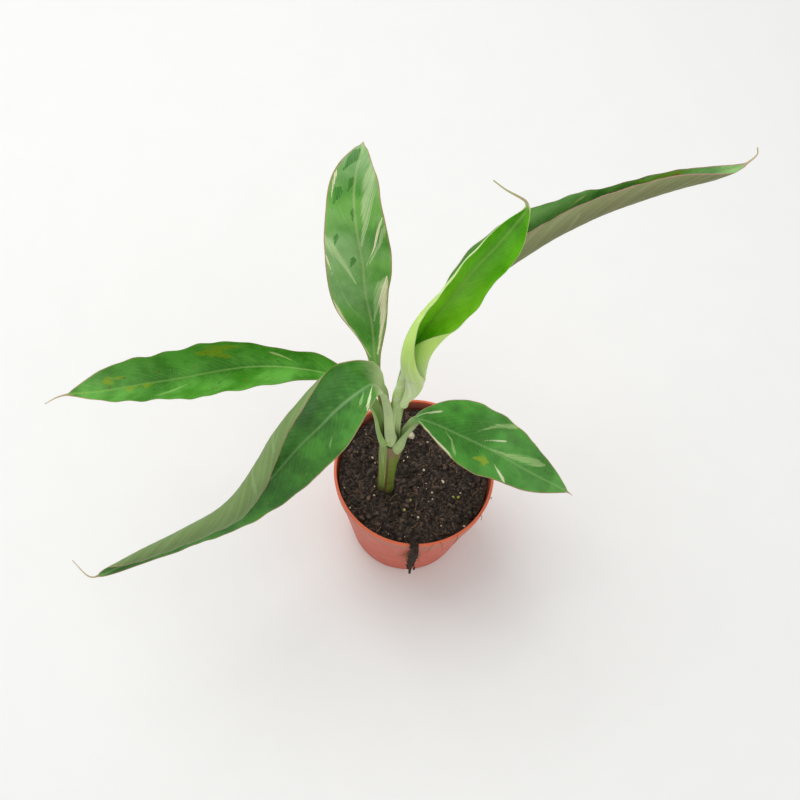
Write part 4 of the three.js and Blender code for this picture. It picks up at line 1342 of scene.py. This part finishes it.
class BananaMakeSoilBits(bpy.types.Operator):
    """Loose crumbs, bark chips, perlite, beads of fertiliser and fibres lying on the soil."""

    bl_idname = "banana.make_soil_bits"
    bl_label = "Soil bits"

    def scatter(self, rng, count, lift):
        """Even random places on the soil, outside the stem, each this much over the soil's height."""
        r = (SOIL_EDGE - 2) * np.sqrt(rng.uniform(0, 1, count))
        a = rng.uniform(0, 2 * np.pi, count)
        x = r * np.cos(a)
        y = r * np.sin(a)
        near = np.hypot(x - STEM_X, y - STEM_Y)
        push = np.maximum(0, STEM_CLEARING - near) / np.maximum(near, 0.5)
        x = x + (x - STEM_X) * push
        y = y + (y - STEM_Y) * push
        return np.stack([x, y, soil_height(x, y) + lift], axis=1)

    def execute(self, context):
        """Each kind is one mesh of small stones or tubes, sunk a little into the soil."""
        settings = context.scene.banana.soil
        rng = np.random.default_rng(settings.seed + 5)
        seed = settings.seed

        size = np.clip(rng.lognormal(-0.1, 0.45, settings.loose_crumbs), 0.35, 2.3)
        # A tenth of them are big clods, sunk by a third of their size.
        big = settings.loose_crumbs // 10
        size[:big] = rng.uniform(1.6, 4.0, big)
        sizes = size[:, None] * rng.uniform(0.7, 1.3, (settings.loose_crumbs, 3))
        centres = self.scatter(rng, settings.loose_crumbs, 0.1)
        centres[:big, 2] -= 0.35 * size[:big]
        material = crumb_material("soil_crumb_peat", "#0f0c0a", "#2f2721", "#7a6a5a", 0.85, 260.0)
        made = [new_piece("soil_crumbs", *lumps(centres, sizes, seed + 1), [material])]

        chips = settings.chips
        size = 0.9 + 3.3 * rng.uniform(0, 1, chips) ** 1.6
        sizes = size[:, None] * np.array([1.0, 0.6, 0.38]) * rng.uniform(0.75, 1.25, (chips, 3))
        centres = self.scatter(rng, chips, 0.5)
        # One larger brown chip lies near the front wall.
        centres[0] = (-10, -44, soil_height(-10, -44) + 0.9)
        sizes[0] = (4.2, 2.4, 1.1)
        material = crumb_material("bark_chip_split", "#14100d", "#392c25", "#82695a", 0.7, 150.0)
        made.append(new_piece("bark_chips", *lumps(centres, sizes, seed + 2), [material]))

        # Larger white grains in their places (x, y and size), then smaller ones anywhere.
        placed = np.array([
            (-7, 32, 3.2), (6, 30, 1.3), (23, -1, 1.3), (19, -6, 1.1), (-29, -9, 1.4),
            (-26, -22, 0.9), (-44, 14, 1.1), (-33, 8, 1.3), (-9, 18, 0.9), (-7, 14, 0.9),
            (-9, 10, 0.8), (-8, 3, 0.8), (7, 6, 1.1), (5, -9, 0.9), (44, -33, 1.1), (9, -33, 1.1),
            (-27, -15, 0.8), (-49, -20, 0.8), (-42, -35, 0.9), (16, -11, 0.9), (37, -7, 0.7),
            (27, -36, 0.7), (-10, -50, 0.8),
        ])
        height = soil_height(placed[:, 0], placed[:, 1]) + 0.5 + 0.25 * placed[:, 2]
        centres = np.vstack([
            np.column_stack([placed[:, :2], height]), self.scatter(rng, settings.perlite, 0.7),
        ])
        size = np.concatenate([placed[:, 2], rng.uniform(0.25, 0.75, settings.perlite)])
        sizes = size[:, None] * rng.uniform(0.7, 1.1, (len(size), 3)) * [1.0, 1.0, 0.8]
        material = crumb_material("perlite_expanded", "#a3967a", "#d8ccaf", "#efe8d6", 0.8, 500.0)
        made.append(new_piece("perlite_grains", *lumps(centres, sizes, seed + 3), [material]))

        beads = np.array([(1, -21), (-2, -29), (32, -12), (36, -11), (31, 22), (-45, 10)], dtype=float)
        centres = np.column_stack([beads, soil_height(beads[:, 0], beads[:, 1]) + 0.9])
        sizes = np.full((len(beads), 3), 1.25)
        material = crumb_material("fertiliser_resin_coated", "#7d842f", "#a9aa52", "#cfcb86", 0.45, 260.0)
        made.append(new_piece("fertiliser_beads", *lumps(centres, sizes, seed + 4, 0.04), [material]))

        # A fibre is a shallow bow between two points, lifted over the crumbs in its middle.
        places = np.array([
            (-11, 38, -1, 38), (7, -1, 3, 1), (18, 14, 30, 19), (28, 15, 30, 11),
            (-14, -25, -7, -17), (-30, -19, -26, -8), (46, -8, 54, 1), (52, -20, 57, -12),
            (-15, 51, -12, 45), (14, -28, 17, -34),
        ], dtype=float)
        starts = self.scatter(rng, settings.fibres, 0)[:, :2]
        heading = rng.uniform(0, 2 * np.pi, settings.fibres)
        run = rng.uniform(3, 11, settings.fibres)
        stops = starts + run[:, None] * np.stack([np.cos(heading), np.sin(heading)], axis=1)
        stops = stops * np.minimum(1, (SOIL_EDGE - 0.8) / np.linalg.norm(stops, axis=1))[:, None]
        starts = np.vstack([places[:, :2], starts])
        side = np.vstack([places[:, 2:], stops]) - starts
        t = np.linspace(0, 1, 8)[None, :, None]
        bow = np.stack([-side[:, 1], side[:, 0]], axis=1) * rng.uniform(-0.3, 0.3, (len(side), 1))
        flat = starts[:, None] + side[:, None] * t + bow[:, None] * 4 * t * (1 - t)
        wobble = rng.uniform(0.1, 0.9, (len(side), 8)) + 2.2 * t[..., 0] * (1 - t[..., 0])
        lifted = soil_height(flat[..., 0], flat[..., 1]) + 0.4 + wobble
        paths = np.concatenate([flat, lifted[..., None]], axis=-1)
        radii = rng.uniform(0.12, 0.26, (len(side), 1)) * [0.6, 1, 1, 1, 1, 0.9, 0.8, 0.4]
        material = crumb_material("root_fibre_dry", "#4a3222", "#936b4a", "#c09b72", 0.75, 240.0)
        made.append(new_piece("soil_fibres", *strands(paths, radii), [material]))
        for piece in made:
            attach(piece, "root")
        return {"FINISHED"}


class BananaMakeRoot(bpy.types.Operator):
    """Roots and soil that hang over the front of the rim."""

    bl_idname = "banana.make_root"
    bl_label = "Root over the rim"

    def execute(self, context):
        """A lumpy tube follows the path over the rim, with crumbs on it and hairs hanging off it."""
        settings = context.scene.banana.soil
        rng = np.random.default_rng(settings.seed + 21)
        path = smooth_path([
            (7.1, -52, 89.5), (8, -54.2, 93.4), (8.6, -56.6, 96.4), (9.3, -58.7, 97.4),
            (10.1, -61, 96.6), (10.7, -62.6, 92.5), (10.9, -62.8, 87), (10.5, -62.2, 80),
            (9.8, -61.8, 72), (9.6, -61.6, 64), (10, -61.6, 55), (10.4, -61.8, 46),
        ])
        length = path[1][-1]
        steps = 90
        sides = 36
        u = np.linspace(0, 1, steps)
        middle = point_at(path, u * length)
        tangent = unit(np.gradient(middle, axis=0))
        side = unit(np.array([1.0, 0, 0]) - tangent[:, :1] * tangent)
        up = np.cross(tangent, side)
        turn = circle(sides)
        wide = along([2.2, 2.6, 3, 2.8, 3, 2.4, 2.6, 1.8, 1.1, 0.8], u)[:, None]
        deep = along([1, 1, 1.2, 1.4, 1.5, 1.4, 1.3, 1.1, 0.9, 0.7], u)[:, None]
        bumps = 1 + 0.14 * np.sin(3 * turn + 31 * u[:, None]) * np.sin(57 * u[:, None] + 1)
        bumps = bumps + 0.1 * np.sin(7 * turn - 90 * u[:, None])
        bumps = bumps + rng.uniform(-0.05, 0.05, (steps, sides))
        grid = middle[:, None] + side[:, None] * (wide * bumps * np.cos(turn))[..., None]
        grid = grid + up[:, None] * (deep * bumps * np.sin(turn))[..., None]
        points = np.vstack([grid.reshape(-1, 3), middle[0], middle[-1]])
        damp = crumb_material("root_clump_damp", "#120e0c", "#31271f", "#5e4b3a", 0.9, 380.0)
        clump = new_piece("root_clump", points, closed_faces(steps, sides), [damp])
        outward(clump)
        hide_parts("root_strand")

        # Hairs start on the clump and hang down the wall, spreading a little.
        hairs = 60
        start = rng.uniform(0.35, 0.95, hairs)
        root = point_at(path, start * length)
        t = np.linspace(0, 1, 9)[None, :]
        fall = rng.uniform(8, 30, hairs)[:, None]
        z = np.maximum(root[:, 2:] - fall * t, 16 + rng.uniform(0, 8, (hairs, 1)))
        wall = BASE_RADIUS + (BODY_TOP - BASE_RADIUS) * z / SHOULDER + 0.5
        wall = np.maximum(wall, np.where(z > SHOULDER, RIM_RADIUS + 0.4, 0))
        away = ROOT_TURN + rng.normal(0, 0.085, (hairs, 1)) * t + rng.normal(0, 0.02, (hairs, 1))
        away = away + 0.012 * np.sin(9 * t + rng.uniform(0, 6, (hairs, 1)))
        proud = rng.uniform(0, 1.6, (hairs, 1)) * (1 - t) + rng.uniform(0, 0.5, (hairs, 9))
        x = (wall + proud) * np.sin(away)
        y = -(wall + proud) * np.cos(away)
        paths = np.stack([x, y, z], axis=-1)
        radii = rng.uniform(0.1, 0.24, (hairs, 1)) * (1 - 0.6 * t)

        # A few stray fibres cross the lip elsewhere: angle round the pot from the front, in
        # radians, how far each sweeps on, and steps over the lip as (out, up) from its edge.
        lip_turn = np.array([0.47, 0.45, 1.1, 1.35, 0.75])[:, None]
        onward = np.array([1, -2, 1, 2, -1])[:, None]
        over = np.array([(-4, -7), (-1.5, -1.2), (0.3, 0.7), (1.1, -1.5), (0.9, -7), (0.6, -12)])
        sweep = lip_turn + np.linspace(0, 0.06, len(over)) * onward
        r = RIM_RADIUS + over[:, 0]
        strays = np.stack([
            r * np.sin(sweep), -r * np.cos(sweep), np.broadcast_to(POT_HEIGHT + over[:, 1], sweep.shape),
        ], axis=-1)
        dry = crumb_material("root_hair_dry", "#4a3423", "#8a6a48", "#c0a377", 0.8, 240.0)
        hair = new_piece("root_hairs", *strands(paths, radii), [dry])
        stray = new_piece("rim_fibres", *strands(strays, np.full(sweep.shape, 0.22)), [dry])

        # Crumbs cling to the clump, and those inside the rim's outline are moved out of the wall.
        count = 120
        at = rng.uniform(0.02, 0.9, count)
        centres = point_at(path, at * length) + rng.normal(0, 1, (count, 3)) * [1.5, 0.5, 1.0]
        reach = np.linalg.norm(centres[:, :2], axis=1)
        low = np.where(centres[:, 2] < POT_HEIGHT, np.maximum(RIM_RADIUS + 0.6 - reach, 0), 0)
        low = np.where(reach < RIM_RADIUS - 2, 0, low)
        centres[:, 1] -= low
        sizes = rng.uniform(0.3, 1.0, (count, 1)) * rng.uniform(0.7, 1.2, (count, 3))
        crumbs = new_piece("root_crumbs", *lumps(centres, sizes, settings.seed + 8), [damp])
        for piece in (clump, hair, stray, crumbs):
            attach(piece, "root")
        return {"FINISHED"}


class BananaMakeStem(bpy.types.Operator):
    """Stem of rolled leaf sheaths, with an older sheath wrapped round most of it."""

    bl_idname = "banana.make_stem"
    bl_label = "Stem"

    def execute(self, context):
        """A skin over the stem's ovals, thicker where the old sheath lies and ribbed lengthwise.

        The old sheath's edge runs up the front left. At its top the skin turns inwards and down,
        which leaves a cup that the stalks rise from.
        """
        sectors = 200
        levels = 150
        turn = circle(sectors)
        t = np.linspace(0, 1, levels)[:, None]
        z = STEM_BOTTOM + (STEM_TOP - STEM_BOTTOM) * t
        # Angle gone round from the old sheath's edge, which leans a little as it rises.
        edge = math.radians(OLD_SHEATH_EDGE) + 0.16 * np.sin(3.1 * t) + 0.12 * t
        gone = np.mod(turn - edge, 2 * np.pi)
        inside = np.minimum(gone, math.radians(OLD_SHEATH_WRAP) - gone) * STEM_RADIUS
        step = 0.42 * smoothstep(-0.15, 0.25, inside)
        ribs = 0.07 * np.sin(turn * 23 + 2 * np.sin(5 * t)) + 0.04 * np.sin(turn * 57)
        swell = 0.25 * np.sin(9 * t + 2 * np.cos(turn)) * t
        # It widens at the top right, where the lowest stalk comes out of it.
        swell = swell + 2.2 * smoothstep(0.7, 0.95, t) * np.maximum(np.cos(turn - 0.1), 0) ** 2
        slim = STEM_SLIM * (1 - 0.65 * smoothstep(0.35, 0.95, t))
        x, y = stem_outline(turn, z, step + ribs + swell - slim)
        rise = 1.6 * np.cos(turn - 2.6) * smoothstep(0.9, 1.0, t)
        skin = np.stack([x, y, z + rise], axis=-1)
        # The cup: three rings that come in from the top edge, by share of its radius and height.
        middle = np.array([STEM_X + STEM_LEAN, STEM_Y])
        rim = skin[-1]
        grid = [*skin]
        for share, down in ((0.93, 0.4), (0.84, -0.6), (0.7, -6.0)):
            grid.append(np.column_stack([middle + (rim[:, :2] - middle) * share, rim[:, 2] + down]))
        points = np.vstack([
            *grid, [STEM_X, STEM_Y, STEM_BOTTOM - 1.5], [*middle, STEM_TOP - 9],
        ])
        sheath = np.stack([
            inside, np.broadcast_to(z, inside.shape), np.broadcast_to(turn * 6, inside.shape),
        ], axis=-1)
        sheath = [*sheath] + [sheath[-1]] * (len(grid) - levels)
        sheath = np.vstack([*sheath, [0, STEM_BOTTOM, 0], [0, STEM_TOP, 0]])
        faces = closed_faces(len(grid), sectors)
        piece = new_piece("stem_sheaths", points, faces, [stem_material()], {"sheath": sheath})
        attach(piece, "root")
        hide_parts("pseudostem")
        return {"FINISHED"}


class BananaMakeLeaves(bpy.types.Operator):
    """Six leaves, each with its stalk, midrib, veins, streaks and the thread at its tip."""

    bl_idname = "banana.make_leaves"
    bl_label = "Leaves"

    def execute(self, context):
        """Builds each row of LEAVES with leaf_form and puts it in place of its solid."""
        settings = context.scene.banana
        spacing = settings.leaf.vein_spacing / MM
        forms = forms_of(settings)
        for leaf in LEAVES:
            materials = [
                leaf_material(leaf["name"] + "_cuticle_waxy", leaf, True, spacing),
                leaf_material(leaf["name"] + "_underside_bloomed", leaf, False, spacing),
            ]
            piece = leaf_piece(leaf, forms[leaf["name"]], materials)
            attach(piece, "root")
            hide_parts(leaf["name"])
        return {"FINISHED"}


class BananaMakeDrops(bpy.types.Operator):
    """Water drops that stand on the leaves."""

    bl_idname = "banana.make_drops"
    bl_label = "Water drops"

    def execute(self, context):
        """A drop is a low dome on a round base, set on the leaf point nearest to its place."""
        settings = context.scene.banana
        forms = forms_of(settings)
        rng = np.random.default_rng(34)
        # Leaf, length from the path's start, place across (left is negative) and radius.
        places = [
            ("leaf_left", 148, 8, 1.5), ("leaf_left", 155, 12, 1.2), ("leaf_left", 172, -10, 1.3),
            ("leaf_left", 205, 6, 1.0), ("leaf_back", 154, -6, 1.1), ("leaf_back", 198, -10, 1.2),
            ("leaf_right", 222, -10, 0.9), ("leaf_right", 228, -11, 0.8),
            ("leaf_lower_right", 120, -14, 0.9), ("leaf_lower_right", 95, 5, 0.8),
        ]
        for _ in range(settings.leaf.drops):
            side = rng.choice([-1, 1])
            places.append((
                "leaf_left", rng.uniform(110, 235), side * rng.uniform(3, 17), rng.uniform(0.35, 0.9),
            ))
        seats = []
        outs = []
        for name, s, x, _ in places:
            form = forms[name]
            k = np.abs(form["s"][:, 0] - s).argmin()
            j = np.abs(form["reach"][k] - x).argmin()
            seats.append(form["upper"][k, j])
            outs.append(form["out"][k, j])
        outs = unit(np.array(outs))
        radius = np.array([place[3] for place in places])
        side = unit(np.cross(outs, [0.3, 1.0, 0.2]))
        slope = np.linspace(0, np.pi / 2, 4)[:-1]
        dome = lathe(np.column_stack([np.cos(slope), 0.5 * np.sin(slope)]), 10)
        dome = np.vstack([dome, [0, 0, -0.12], [0, 0, 0.5]])
        axes = np.stack([side, np.cross(outs, side), outs], axis=1)
        points = np.einsum("nvk,nkc->nvc", dome * radius[:, None, None], axes)
        points = points + np.array(seats)[:, None]
        faces = copied(closed_faces(3, 10), len(places), len(dome))
        piece = new_piece("water_drops", points.reshape(-1, 3), faces, [water_material()])
        outward(piece)
        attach(piece, "root")
        return {"FINISHED"}


def aimed(name, data, place, back, right):
    """Puts a lamp or camera at a place in metres, with Z along back and X along right."""
    thing = bpy.data.objects.new(name, data)
    turn = Matrix(np.column_stack([right, np.cross(back, right), back]).tolist()).to_4x4()
    thing.matrix_world = Matrix.Translation(place) @ turn
    bpy.context.scene.collection.objects.link(thing)
    return thing


class BananaMakeStage(bpy.types.Operator):
    """Floor, soft lights and the camera."""

    bl_idname = "banana.make_stage"
    bl_label = "Stage"

    def execute(self, context):
        """The camera looks down at the rim, which sits a little right of and below the middle."""
        scene = context.scene
        settings = scene.banana.stage
        size = 3000.0
        corners = np.array([(-size, -size, 0), (size, -size, 0), (size, size, 0), (-size, size, 0)])
        floor = new_piece("floor", corners, [np.arange(4)[None]], [stage_material(settings)])

        world = bpy.data.worlds.new("even_sky")
        world.use_nodes = True
        sky = world.node_tree.nodes["Background"]
        sky.inputs["Color"].default_value = (1.0, 1.0, 1.0, 1.0)
        sky.inputs["Strength"].default_value = settings.sky
        scene.world = world
        scene.view_settings.view_transform = "Standard"

        # Each light's place and width in metres, and its power. It looks at a point over the pot.
        lights = (
            ("key", (-0.55, 0.35, 1.5), 1.1, settings.key_power),
            ("fill", (1.1, -0.8, 1.2), 1.4, settings.fill_power),
        )
        for name, place, wide, power in lights:
            lamp = bpy.data.lights.new(name, "AREA")
            lamp.shape = "SQUARE"
            lamp.size = wide
            lamp.energy = power
            back = unit(np.array(place) - (0, 0, 0.2))
            aimed(name, lamp, place, back, unit(np.cross([0, 0, 1.0], back)))

        # The view axes before and after the rim's middle is moved to its place in the frame.
        pitch = settings.elevation
        roll = settings.roll
        focal = settings.lens / SENSOR_WIDTH * FRAME_PIXELS
        right = np.array([1.0, 0, 0])
        up = np.array([0, math.sin(pitch), math.cos(pitch)])
        ahead = np.array([0, math.cos(pitch), -math.sin(pitch)])
        eye = np.array([0, 0, POT_HEIGHT * MM]) - settings.distance * ahead
        turned_right = math.cos(roll) * right + math.sin(roll) * up
        turned_up = -math.sin(roll) * right + math.cos(roll) * up
        shift = RIM_RIGHT_PIXELS / focal * turned_right - RIM_DOWN_PIXELS / focal * turned_up
        back = -unit(ahead - shift)
        view = bpy.data.cameras.new("camera")
        view.sensor_width = SENSOR_WIDTH
        view.lens = settings.lens
        view.clip_start = 0.01
        right = unit(turned_right - (turned_right @ back) * back)
        scene.camera = aimed("camera", view, eye.tolist(), back, right)
        return {"FINISHED"}


class BananaPanel(bpy.types.Panel):
    """Sizes and colours of the plant, and a button for each piece."""

    bl_idname = "VIEW3D_PT_banana"
    bl_label = "Potted banana"
    bl_space_type = "VIEW_3D"
    bl_region_type = "UI"
    bl_category = "Banana"

    def draw(self, context):
        settings = context.scene.banana
        groups = (
            (settings.pot, (BananaMakePot,)),
            (settings.soil, (BananaMakeSoil, BananaMakeSoilBits, BananaMakeRoot)),
            (settings.leaf, (BananaMakeStem, BananaMakeLeaves, BananaMakeDrops)),
            (settings.stage, (BananaMakeStage,)),
        )
        for group, makers in groups:
            box = self.layout.box()
            for key in group.__annotations__:
                box.prop(group, key)
            for maker in makers:
                box.operator(maker.bl_idname)


CLASSES = (
    BananaPotSettings, BananaSoilSettings, BananaLeafSettings, BananaStageSettings, BananaSettings,
    BananaMakePot, BananaMakeSoil, BananaMakeSoilBits, BananaMakeRoot, BananaMakeStem,
    BananaMakeLeaves, BananaMakeDrops, BananaMakeStage, BananaPanel,
)


def register():
    """Adds the classes and hangs the settings on the scene."""
    for entry in CLASSES:
        bpy.utils.register_class(entry)
    bpy.types.Scene.banana = PointerProperty(type=BananaSettings)


def unregister():
    """Takes the settings and classes away again."""
    del bpy.types.Scene.banana
    for entry in reversed(CLASSES):
        bpy.utils.unregister_class(entry)


def main():
    """Makes every piece in order."""
    register()
    bpy.ops.banana.make_stage()
    bpy.ops.banana.make_pot()
    bpy.ops.banana.make_soil()
    bpy.ops.banana.make_soil_bits()
    bpy.ops.banana.make_root()
    bpy.ops.banana.make_stem()
    bpy.ops.banana.make_leaves()
    bpy.ops.banana.make_drops()


if __name__ == "__main__":
    main()
